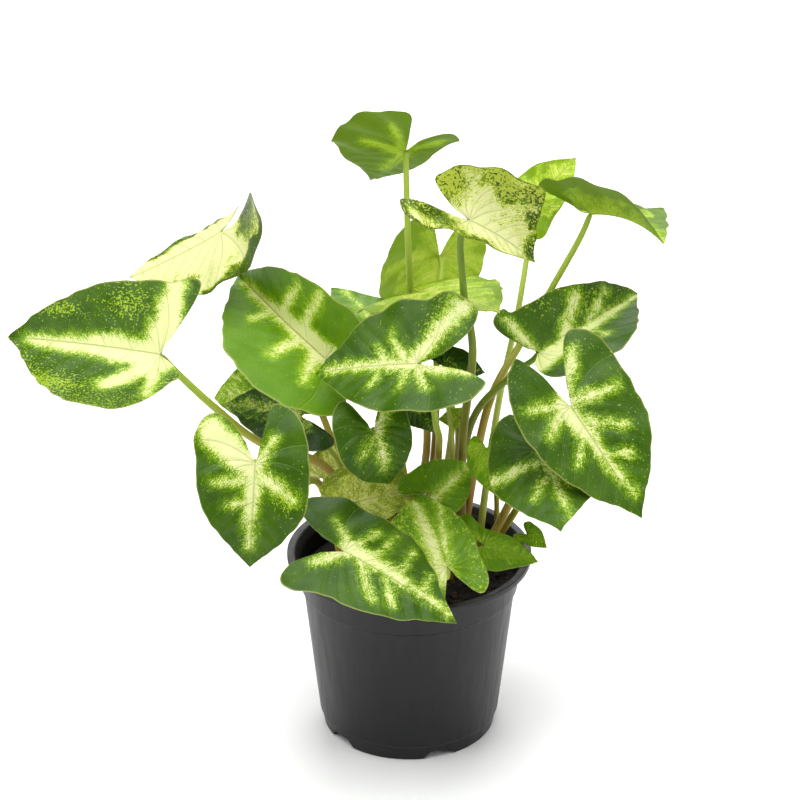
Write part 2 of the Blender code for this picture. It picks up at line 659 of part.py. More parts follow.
def main() -> None:
    """Build the plant in its pot."""
    clear_scene()
    plant = new_collection("arrowhead_plant")
    cutters = new_collection("cutters")
    build_pot(plant, cutters)
    build_soil(plant, cutters)
    for leaf in LEAVES:
        build_leaf(leaf, plant, cutters)


main()
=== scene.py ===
"""Arrowhead plant in a black nursery pot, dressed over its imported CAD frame.

The frame stands on the floor with the pot's axis on Z, and the plant's front faces -Y. Sizes
in the tables are millimetres and degrees, the same as in the part's source.
"""
import logging
import math
import random
from dataclasses import dataclass
from enum import Enum

import bmesh
import bpy
from mathutils import Matrix, Vector, noise


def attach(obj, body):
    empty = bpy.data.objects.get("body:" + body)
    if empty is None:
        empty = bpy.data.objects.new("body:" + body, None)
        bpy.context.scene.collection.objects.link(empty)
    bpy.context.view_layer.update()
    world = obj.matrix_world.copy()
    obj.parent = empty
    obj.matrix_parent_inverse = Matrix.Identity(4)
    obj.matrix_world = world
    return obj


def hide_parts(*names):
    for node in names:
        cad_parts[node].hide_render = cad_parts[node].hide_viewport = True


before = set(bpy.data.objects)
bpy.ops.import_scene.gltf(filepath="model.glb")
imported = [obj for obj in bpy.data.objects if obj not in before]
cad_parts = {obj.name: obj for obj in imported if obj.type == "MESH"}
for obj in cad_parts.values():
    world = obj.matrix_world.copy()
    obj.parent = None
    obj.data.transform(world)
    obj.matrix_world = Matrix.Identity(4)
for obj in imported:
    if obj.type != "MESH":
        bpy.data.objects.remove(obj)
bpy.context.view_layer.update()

MM = 0.001
LOG = logging.getLogger("arrowhead_plant")
Point = tuple[float, float, float]
# Radians that stand in for no bend at all, where a formula divides by the bend
LEAST_TURN = 1e-6
LEAST_CURL = 1e-5


# Colours and nodes


def linear(code: str) -> tuple[float, float, float, float]:
    """Turn an sRGB hex colour into linear values.

    Args:
        code: six hex digits, such as "3f7d0e".

    Returns:
        Linear red, green and blue, with an alpha of one.
    """
    parts = [int(code[place:place + 2], 16) / 255.0 for place in (0, 2, 4)]
    values = [part / 12.92 if part <= 0.04045 else ((part + 0.055) / 1.055) ** 2.4
              for part in parts]
    return (values[0], values[1], values[2], 1.0)


def add_node(tree: bpy.types.NodeTree, kind: str, sockets: dict | None = None,
             **settings: object) -> bpy.types.Node:
    """Add a node, set its options, and link or set its inputs.

    Args:
        tree: the material's nodes.
        kind: the node's type, such as "ShaderNodeMix".
        sockets: input name or number to a value, or to an output that it is linked to.
        **settings: options of the node itself.

    Returns:
        The new node.
    """
    node = tree.nodes.new(kind)
    for option, value in settings.items():
        setattr(node, option, value)
    for place, value in (sockets or {}).items():
        if isinstance(value, bpy.types.NodeSocket):
            tree.links.new(value, node.inputs[place])
        else:
            node.inputs[place].default_value = value
    return node


def empty_material(name: str) -> bpy.types.Material:
    """Make a material with no nodes yet.

    Args:
        name: the material's name.

    Returns:
        The material.
    """
    material = bpy.data.materials.new(name)
    material.use_nodes = True
    material.node_tree.nodes.clear()
    return material


# Finishes


@dataclass(frozen=True)
class LivingLeaf:
    """Living leaf blade, waxy above and matt below, mottled cream along its veins.

    The wax gives a soft grey sheen on the upper face, and light that comes through the blade
    turns yellow-green. The cream breaks up into specks that run along the side veins.

    Attributes:
        name: the material's name.
        deep, fresh: the two greens that marble the blade.
        lime, cream: colours from the edge to the middle of the cream.
        under: tint of the lower face.
        rim: colour of the thin margin line.
        vein: colour of the veins where they cross the cream.
        roughness, ior, specular: of the waxy upper face.
        matt: roughness that the lower face has on top.
        glow: share of light that comes through the blade.
        relief: height of the fine grain, in millimetres.
    """
    name: str
    deep: str
    fresh: str
    lime: str
    cream: str
    under: str = "86a63c"
    rim: str = "a8ad58"
    vein: str = "9aa544"
    roughness: float = 0.3
    ior: float = 1.4
    specular: float = 0.34
    matt: float = 0.22
    glow: float = 0.28
    relief: float = 0.4

    def material(self) -> bpy.types.Material:
        """Build the blade's material from the attributes that the mesh carries.

        Returns:
            The finished material.
        """
        material = empty_material(self.name)
        tree = material.node_tree
        read = {name: add_node(tree, "ShaderNodeAttribute", attribute_name=name)
                for name in ("veins", "tint", "spot", "specks")}
        vein, tint, spot = (
            add_node(tree, "ShaderNodeSeparateXYZ", {0: read[name].outputs["Vector"]})
            for name in ("veins", "tint", "spot"))
        noises = self.noises(tree, vein, spot, read["spot"].outputs["Vector"])
        mask, ripe, near = self.masks(tree, tint.outputs[0], read["specks"].outputs["Fac"],
                                      noises)
        lines = self.lines(tree, vein, spot)
        colour = self.colour(tree, (mask, ripe, near), lines, tint, noises)
        waxy = add_node(tree, "ShaderNodeMapRange",
                        {"Value": noises["mottle"], "From Min": 0.3, "From Max": 0.7,
                         "To Min": self.roughness - 0.05, "To Max": self.roughness + 0.07})
        rough = add_node(tree, "ShaderNodeMath",
                         {0: tint.outputs[2], 1: self.matt, 2: waxy.outputs[0]},
                         operation="MULTIPLY_ADD")
        sunk = add_node(tree, "ShaderNodeMath", {0: lines, 1: -1.6, 2: noises["grains"]},
                        operation="MULTIPLY_ADD")
        relief = add_node(tree, "ShaderNodeBump",
                          {"Height": sunk.outputs[0], "Strength": 0.5,
                           "Distance": self.relief * MM})
        surface = add_node(tree, "ShaderNodeBsdfPrincipled",
                           {"Base Color": colour, "Roughness": rough.outputs[0],
                            "IOR": self.ior, "Specular IOR Level": self.specular,
                            "Normal": relief.outputs[0]})
        through = add_node(tree, "ShaderNodeBsdfTranslucent",
                           {"Color": colour, "Normal": relief.outputs[0]})
        mixed = add_node(tree, "ShaderNodeMixShader",
                         {0: self.glow, 1: surface.outputs[0], 2: through.outputs[0]})
        add_node(tree, "ShaderNodeOutputMaterial", {0: mixed.outputs[0]})
        return material

    def noises(self, tree: bpy.types.NodeTree, vein: bpy.types.Node, spot: bpy.types.Node,
               place: bpy.types.NodeSocket) -> dict[str, bpy.types.NodeSocket]:
        """Add the noises that the pattern is made from.

        Args:
            tree: the material's nodes.
            vein: place among the side veins.
            spot: flat coordinates and seed.
            place: the same coordinates as one vector.

        Returns:
            Noise by name, each from 0 to 1.
        """
        across = add_node(tree, "ShaderNodeMath", {0: vein.outputs[0], 1: vein.outputs[1]},
                          operation="MULTIPLY")
        # Feathers of cream are about 0.7 mm across and 4 mm long, along the side veins
        along = add_node(tree, "ShaderNodeMath", {0: vein.outputs[2], 1: 0.17},
                         operation="MULTIPLY")
        flow = add_node(tree, "ShaderNodeCombineXYZ",
                        {0: across.outputs[0], 1: along.outputs[0], 2: spot.outputs[2]})
        # Scale per millimetre and detail: mottling of 2.5 mm, grains of 0.6 mm, dots of 1 mm
        # and marbling of 12 mm
        sizes = {"mottle": (0.4, 3.0), "grains": (1.6, 1.5), "dots": (0.95, 1.0),
                 "marble": (0.08, 4.0)}
        found = {name: add_node(tree, "ShaderNodeTexNoise",
                                {"Vector": place, "Scale": scale, "Detail": detail,
                                 "Roughness": 0.65}).outputs[0]
                 for name, (scale, detail) in sizes.items()}
        feathers = add_node(tree, "ShaderNodeTexNoise",
                            {"Vector": flow.outputs[0], "Scale": 1.5, "Detail": 2.0,
                             "Roughness": 0.65})
        return found | {"feathers": feathers.outputs[0]}

    def mixture(self, tree: bpy.types.NodeTree, level: bpy.types.NodeSocket, offset: float,
                weights: dict[str, float],
                noises: dict[str, bpy.types.NodeSocket]) -> bpy.types.NodeSocket:
        """Add weighted noises about their middle to a level.

        Args:
            tree: the material's nodes.
            level: the level.
            offset: added to the level.
            weights: weight by noise.
            noises: the noises.

        Returns:
            The sum.
        """
        middle = offset - 0.5 * sum(weights.values())
        total = add_node(tree, "ShaderNodeMath", {0: level, 1: middle}, operation="ADD")
        for name, weight in weights.items():
            total = add_node(tree, "ShaderNodeMath",
                             {0: noises[name], 1: weight, 2: total.outputs[0]},
                             operation="MULTIPLY_ADD")
        return total.outputs[0]

    def masks(self, tree: bpy.types.NodeTree, level: bpy.types.NodeSocket,
              specks: bpy.types.NodeSocket, noises: dict[str, bpy.types.NodeSocket]
              ) -> tuple[bpy.types.NodeSocket, ...]:
        """Add the masks of the cream.

        Args:
            tree: the material's nodes.
            level: cream level of the blade.
            specks: how thick loose specks lie.
            noises: the noises.

        Returns:
            Where the cream is, how pale it is there, and how close the green is to it.
        """
        torn = self.mixture(tree, level, 0.0, {"feathers": 5.5, "mottle": 4.5, "grains": 6.5},
                            noises)
        loose = self.mixture(tree, specks, -3.3, {"dots": 10.0, "mottle": 5.0}, noises)
        ramps = {name: add_node(tree, "ShaderNodeMapRange",
                                {"Value": value, "From Min": low, "From Max": high,
                                 "To Max": most}, interpolation_type="SMOOTHSTEP").outputs[0]
                 for name, value, low, high, most in (
                     ("edge", torn, -0.3, 0.05, 1.0), ("dots", loose, -0.3, 0.4, 0.85),
                     ("ripe", torn, -0.2, 2.4, 1.0), ("near", torn, -3.4, -0.2, 1.0))}
        mask = add_node(tree, "ShaderNodeMath", {0: ramps["edge"], 1: ramps["dots"]},
                        operation="MAXIMUM")
        return mask.outputs[0], ramps["ripe"], ramps["near"]

    def lines(self, tree: bpy.types.NodeTree, vein: bpy.types.Node,
              spot: bpy.types.Node) -> bpy.types.NodeSocket:
        """Add the veins, about 0.5 mm wide, and the midrib, about 0.8 mm wide.

        Args:
            tree: the material's nodes.
            vein: place among the side veins.
            spot: flat coordinates.

        Returns:
            1 on the midrib, less on the side veins, and 0 between them.
        """
        beside = add_node(tree, "ShaderNodeMath", {0: vein.outputs[0], 1: 0.5},
                          operation="PINGPONG")
        off = add_node(tree, "ShaderNodeMath", {0: beside.outputs[0], 1: vein.outputs[1]},
                       operation="MULTIPLY")
        side = add_node(tree, "ShaderNodeMapRange",
                        {"Value": off.outputs[0], "From Min": 0.08, "From Max": 0.4,
                         "To Min": 0.6, "To Max": 0.0}, interpolation_type="SMOOTHSTEP")
        middle = add_node(tree, "ShaderNodeMath", {0: spot.outputs[1]}, operation="ABSOLUTE")
        rib = add_node(tree, "ShaderNodeMapRange",
                       {"Value": middle.outputs[0], "From Min": 0.15, "From Max": 0.6,
                        "To Min": 1.0, "To Max": 0.0}, interpolation_type="SMOOTHSTEP")
        front = add_node(tree, "ShaderNodeMath", {0: spot.outputs[0], 1: 0.0},
                         operation="GREATER_THAN")
        midrib = add_node(tree, "ShaderNodeMath", {0: rib.outputs[0], 1: front.outputs[0]},
                          operation="MULTIPLY")
        lines = add_node(tree, "ShaderNodeMath", {0: side.outputs[0], 1: midrib.outputs[0]},
                         operation="MAXIMUM")
        return lines.outputs[0]

    def colour(self, tree: bpy.types.NodeTree, masks: tuple[bpy.types.NodeSocket, ...],
               lines: bpy.types.NodeSocket, tint: bpy.types.Node,
               noises: dict[str, bpy.types.NodeSocket]) -> bpy.types.NodeSocket:
        """Mix the blade's colour.

        Args:
            tree: the material's nodes.
            masks: where the cream is, how pale it is, and how close the green is to it.
            lines: the veins.
            tint: cream level, share of the way to the margin, and lower face.
            noises: the noises.

        Returns:
            The colour.
        """
        mask, ripe, near = masks
        patchy = add_node(tree, "ShaderNodeMath",
                          {0: noises["marble"], 1: 0.9, 2: near}, operation="MULTIPLY_ADD")
        shade = add_node(tree, "ShaderNodeMapRange",
                         {"Value": patchy.outputs[0], "From Min": 0.3, "From Max": 1.5})
        faint = add_node(tree, "ShaderNodeMapRange",
                         {"Value": mask, "To Min": 0.25, "To Max": 0.5})
        drawn = add_node(tree, "ShaderNodeMath", {0: lines, 1: faint.outputs[0]},
                         operation="MULTIPLY")
        margin = add_node(tree, "ShaderNodeMapRange",
                          {"Value": tint.outputs[1], "From Min": 0.972, "From Max": 0.995,
                           "To Min": 0.0, "To Max": 0.7})
        below = add_node(tree, "ShaderNodeMath", {0: tint.outputs[2], 1: 0.45},
                         operation="MULTIPLY")
        layers = {name: linear(getattr(self, name))
                  for name in ("deep", "fresh", "lime", "cream", "vein", "rim", "under")}
        for name, share, first, second in (
                ("green", shade.outputs[0], "deep", "fresh"), ("pale", ripe, "lime", "cream"),
                ("blade", mask, "green", "pale"), ("ink", mask, "fresh", "vein"),
                ("veined", drawn.outputs[0], "blade", "ink"),
                ("rimmed", margin.outputs[0], "veined", "rim"),
                ("finished", below.outputs[0], "rimmed", "under")):
            mix = add_node(tree, "ShaderNodeMix",
                           {0: share, 6: layers[first], 7: layers[second]}, data_type="RGBA")
            layers[name] = mix.outputs[2]
        return layers["finished"]


@dataclass(frozen=True)
class LivingStalk:
    """Living leaf stalk: smooth, juicy and faintly streaked along its length.

    Attributes:
        name: the material's name.
        base, top: colours at the stalk's foot and under the blade.
        roughness, ior, specular: of its smooth skin.
        glow: share of light that comes through it.
        relief: height of the streaks, in millimetres.
    """
    name: str
    base: str
    top: str
    roughness: float = 0.4
    ior: float = 1.4
    specular: float = 0.34
    glow: float = 0.12
    relief: float = 0.3

    def material(self) -> bpy.types.Material:
        """Build the stalk's material, from its foot's colour to its top's.

        Returns:
            The finished material.
        """
        material = empty_material(self.name)
        tree = material.node_tree
        tints = add_node(tree, "ShaderNodeAttribute", attribute_name="tint")
        tint = add_node(tree, "ShaderNodeSeparateXYZ", {0: tints.outputs["Vector"]})
        spots = add_node(tree, "ShaderNodeAttribute", attribute_name="spot")
        # Streaks about 0.7 mm wide and 10 mm long, on a stalk 3 mm thick
        streaks = add_node(tree, "ShaderNodeTexNoise",
                           {"Vector": spots.outputs["Vector"], "Scale": 1.0, "Detail": 3.0})
        raised = add_node(tree, "ShaderNodeMath",
                          {0: streaks.outputs[0], 1: 0.5, 2: tint.outputs[1]},
                          operation="MULTIPLY_ADD")
        height = add_node(tree, "ShaderNodeMapRange",
                          {"Value": raised.outputs[0], "From Min": 0.25, "From Max": 0.95})
        colour = add_node(tree, "ShaderNodeMix",
                          {0: height.outputs[0], 6: linear(self.base), 7: linear(self.top)},
                          data_type="RGBA")
        relief = add_node(tree, "ShaderNodeBump",
                          {"Height": streaks.outputs[0], "Strength": 0.3,
                           "Distance": self.relief * MM})
        surface = add_node(tree, "ShaderNodeBsdfPrincipled",
                           {"Base Color": colour.outputs[2], "Roughness": self.roughness,
                            "IOR": self.ior, "Specular IOR Level": self.specular,
                            "Normal": relief.outputs[0]})
        through = add_node(tree, "ShaderNodeBsdfTranslucent", {"Color": colour.outputs[2]})
        mixed = add_node(tree, "ShaderNodeMixShader",
                         {0: self.glow, 1: surface.outputs[0], 2: through.outputs[0]})
        add_node(tree, "ShaderNodeOutputMaterial", {0: mixed.outputs[0]})
        return material


@dataclass(frozen=True)
class MouldedPolypropylene:
    """Black polypropylene, injection moulded: satin, with orange peel and faint dust.

    Attributes:
        name: the material's name.
        body, dust: colours of the plastic and of the dust on it.
        roughness, ior, specular: of the satin surface.
        relief: height of the orange peel, in millimetres.
    """
    name: str = "moulded_black_polypropylene"
    body: str = "0a0b0d"
    dust: str = "1c1c1b"
    roughness: float = 0.4
    ior: float = 1.49
    specular: float = 0.32
    relief: float = 0.4

    def material(self) -> bpy.types.Material:
        """Build the pot's material.

        Returns:
            The finished material.
        """
        material = empty_material(self.name)
        tree = material.node_tree
        place = add_node(tree, "ShaderNodeTexCoord")
        # Orange peel of 0.8 mm
        peel = add_node(tree, "ShaderNodeTexNoise",
                        {"Vector": place.outputs["Object"], "Scale": 1200.0, "Detail": 2.0})
        # Flow marks of the mould run up the wall, 3 mm wide and 45 mm long
        stretch = add_node(tree, "ShaderNodeMapping",
                           {"Vector": place.outputs["Object"], "Scale": (330.0, 330.0, 22.0)})
        marks = add_node(tree, "ShaderNodeTexNoise",
                         {"Vector": stretch.outputs[0], "Scale": 1.0, "Detail": 4.0})
        # Dust in patches of 15 mm
        patches = add_node(tree, "ShaderNodeTexNoise",
                           {"Vector": place.outputs["Object"], "Scale": 65.0, "Detail": 5.0,
                            "Roughness": 0.65})
        dusty = add_node(tree, "ShaderNodeMapRange",
                         {"Value": patches.outputs[0], "From Min": 0.5, "From Max": 0.75,
                          "To Min": 0.0, "To Max": 0.3})
        colour = add_node(tree, "ShaderNodeMix",
                          {0: dusty.outputs[0], 6: linear(self.body), 7: linear(self.dust)},
                          data_type="RGBA")
        rough = add_node(tree, "ShaderNodeMapRange",
                         {"Value": marks.outputs[0], "From Min": 0.3, "From Max": 0.7,
                          "To Min": self.roughness - 0.06, "To Max": self.roughness + 0.08})
        height = add_node(tree, "ShaderNodeMath",
                          {0: marks.outputs[0], 1: 0.15, 2: peel.outputs[0]},
                          operation="MULTIPLY_ADD")
        relief = add_node(tree, "ShaderNodeBump",
                          {"Height": height.outputs[0], "Strength": 0.12,
                           "Distance": self.relief * MM})
        surface = add_node(tree, "ShaderNodeBsdfPrincipled",
                           {"Base Color": colour.outputs[2], "Roughness": rough.outputs[0],
                            "IOR": self.ior, "Specular IOR Level": self.specular,
                            "Normal": relief.outputs[0]})
        add_node(tree, "ShaderNodeOutputMaterial", {0: surface.outputs[0]})
        return material


@dataclass(frozen=True)
class PottingMix:
    """Moist peat potting mix: matt, near black, with crumbs of brown bark.

    Attributes:
        name: the material's name.
        peat, humus: colours that the soil varies between.
        bark, root: colours of the brownest crumbs and of the root.
        roughness: of the matt surface.
        relief: height of the grains, in millimetres.
    """
    name: str = "moist_peat_potting_mix"
    peat: str = "0b0806"
    humus: str = "19110b"
    bark: str = "5a3c22"
    root: str = "c9bfa6"
    roughness: float = 0.92
    relief: float = 1.0

    def material(self) -> bpy.types.Material:
        """Build the soil's material.

        Returns:
            The finished material.
        """
        material = empty_material(self.name)
        tree = material.node_tree
        place = add_node(tree, "ShaderNodeTexCoord")
        tints = add_node(tree, "ShaderNodeAttribute", attribute_name="tint")
        tint = add_node(tree, "ShaderNodeSeparateXYZ", {0: tints.outputs["Vector"]})
        # Crumbs of 2 mm, with grains of 0.7 mm on them
        crumbs = add_node(tree, "ShaderNodeTexNoise",
                          {"Vector": place.outputs["Object"], "Scale": 480.0, "Detail": 4.0,
                           "Roughness": 0.7})
        grains = add_node(tree, "ShaderNodeTexVoronoi",
                          {"Vector": place.outputs["Object"], "Scale": 1500.0})
        dark = add_node(tree, "ShaderNodeMapRange",
                        {"Value": crumbs.outputs[0], "From Min": 0.35, "From Max": 0.65})
        earth = add_node(tree, "ShaderNodeMix",
                         {0: dark.outputs[0], 6: linear(self.peat), 7: linear(self.humus)},
                         data_type="RGBA")
        crumb = add_node(tree, "ShaderNodeMix",
                         {0: tint.outputs[0], 6: earth.outputs[2], 7: linear(self.bark)},
                         data_type="RGBA")
        # The root's corners carry a tint of 2, and no crumb's goes past 1
        pale = add_node(tree, "ShaderNodeMath", {0: tint.outputs[0], 1: 1.5},
                        operation="GREATER_THAN")
        colour = add_node(tree, "ShaderNodeMix",
                          {0: pale.outputs[0], 6: crumb.outputs[2], 7: linear(self.root)},
                          data_type="RGBA")
        height = add_node(tree, "ShaderNodeMath",
                          {0: grains.outputs["Distance"], 1: 0.6, 2: crumbs.outputs[0]},
                          operation="MULTIPLY_ADD")
        relief = add_node(tree, "ShaderNodeBump",
                          {"Height": height.outputs[0], "Strength": 0.8,
                           "Distance": self.relief * MM})
        surface = add_node(tree, "ShaderNodeBsdfPrincipled",
                           {"Base Color": colour.outputs[2], "Roughness": self.roughness,
                            "Normal": relief.outputs[0]})
        add_node(tree, "ShaderNodeOutputMaterial", {0: surface.outputs[0]})
        return material


class Tone(Enum):
    """Ages and places of the leaves, each with its own finish. The shade tone is a darker copy of
    the greens, painted shade for leaves that lie in shadow inside the plant.
    """
    DEEP = LivingLeaf("living_leaf_deep", "335804", "729a12", "a8c62a", "e9ecac")
    FRESH = LivingLeaf("living_leaf_fresh", "588602", "8cb418", "b6d034", "e9ecaa")
    CREAM = LivingLeaf("living_leaf_cream", "345204", "7c981c", "c4d24a", "e4e6aa",
                       under="c3c968", rim="56621c")
    LIME = LivingLeaf("living_leaf_lime", "8aae16", "b2ce34", "cce04c", "e4eb84",
                      under="bcd240", glow=0.44)
    BACK = LivingLeaf("living_leaf_from_below", "60840e", "92b222", "b4d032", "cde250",
                      under="92b02c", rim="6a7626", glow=0.4)
    YOUNG = LivingLeaf("living_leaf_young", "6e9c0a", "92bc1a", "aacc30", "c4dc50",
                       under="9cc030", glow=0.36)
    # Painted shade: greens darker than DEEP's, for leaves that lie in shadow inside the plant
    PAINTED_SHADE = LivingLeaf("living_leaf_painted_shade", "224002", "4a7010", "8aa82a", "cdd470",
                       under="5f7d1e")
    OLIVE = LivingLeaf("living_leaf_olive", "7a8c14", "a2b02c", "c8d052", "e8e894",
                       under="b3ba44")


class Stalk(Enum):
    """Kinds of stalk, each with its own finish."""
    OLIVE = LivingStalk("living_stalk_olive", "a8763c", "9ab03c")
    DARK = LivingStalk("living_stalk_dark", "7c6428", "6f8a28")
    PALE = LivingStalk("living_stalk_pale", "a3a84e", "b6c85c")


# Leaves


@dataclass(frozen=True)
class Half:
    """One half of a blade beside the midrib, laid flat, as in the part's source.

    Attributes:
        width: from the midrib to the margin at the widest place.
        at: how far that place lies in front of the petiole.
        back, out: where the lobe's tip lies behind and beside the petiole.
        fold, curl: rise of the half at the midrib, and the turn it gains by the margin.
        fullness: roundness of the lobe's tip.
        tip, notch: angles of the margin at the leaf's tip and at the petiole.
    """
    width: float
    at: float
    back: float
    out: float
    fold: float = 9.0
    curl: float = -14.0
    fullness: float = 0.4
    tip: float = 40.0
    notch: float = 28.0


@dataclass(frozen=True)
class Patch:
    """A soft round patch on the flat blade that adds cream to it or takes cream away.

    Attributes:
        x, y: its middle, as shares of the midrib from the petiole and to the left.
        long, wide: its reach along and across the midrib, as the same shares.
        amount: cream added, or taken where it is below zero.
        specks: loose specks added, or taken where it is below zero.
    """
    x: float
    y: float
    long: float
    wide: float
    amount: float
    specks: float = 0.0


@dataclass(frozen=True)
class Arm:
    """A tapered arm of cream on the flat blade.

    Attributes:
        x, y: its start, as shares of the midrib from the petiole and to the left.
        to_x, to_y: its end, likewise.
        wide, to_wide: its half width at both ends, as shares of the midrib.
    """
    x: float
    y: float
    to_x: float
    to_y: float
    wide: float
    to_wide: float

    def depth(self, x: float, y: float) -> float:
        """Work out how deep a point lies inside the arm.

        Args:
            x, y: the point, as shares of the midrib.

        Returns:
            The depth as a share of the midrib, below zero outside the arm.
        """
        way = Vector((self.to_x - self.x, self.to_y - self.y))
        off = Vector((x - self.x, y - self.y))
        share = min(1.0, max(0.0, off.dot(way) / max(way.length_squared, 1e-9)))
        half = self.wide + (self.to_wide - self.wide) * share
        return half - (off - way * share).length


@dataclass(frozen=True)
class Look:
    """How a leaf is marked.

    Attributes:
        tone: its finish.
        band: half width of the cream along the midrib, as a share of the midrib.
        streak: half width of the cream along a side vein, as the same share.
        reach: how far the streaks run towards the left and the right margin.
        wash: cream added all over.
        specks: how thick loose specks lie on the left and the right half.
        patches: places that differ from the rest.
        arms: arms of the cream, which stand in for the band and the streaks.
        stalk: finish of the stalk.
    """
    tone: Tone
    band: float = 0.06
    streak: float = 0.04
    reach: tuple[float, float] = (0.7, 0.7)
    wash: float = 0.0
    specks: tuple[float, float] = (0.8, 0.8)
    patches: tuple[Patch, ...] = ()
    arms: tuple[Arm, ...] = ()
    stalk: Stalk = Stalk.OLIVE


@dataclass(frozen=True)
class Leaf:
    """A blade on its petiole, with the same sizes as in the part's source.

    Attributes:
        name: the CAD node that it stands for.
        at: the place where the petiole meets the blade.
        aim: heading and pitch of the midrib, and roll about it.
        length: midrib from petiole to tip.
        droop, lobe_drop: how far the midrib and the lobes bend down along their length.
        left, right: the two halves.
        foot: where the petiole stands in the soil.
        via: places that the petiole passes on its way up.
        radius: of the petiole.
        wave, ripples, phase: height, number and start of the ripples along the margin.
        colour: family of the leaf in the part's record.
    """
    name: str
    at: Point
    aim: Point
    length: float
    droop: float
    lobe_drop: float
    left: Half
    right: Half
    foot: tuple[float, float]
    via: tuple[Point, ...] = ()
    radius: float = 1.6
    wave: float = 0.8
    ripples: float = 2.5
    phase: float = 0.0
    colour: str = "leaf_green"


BRIGHT = "leaf_bright"
CREAM = "leaf_cream"

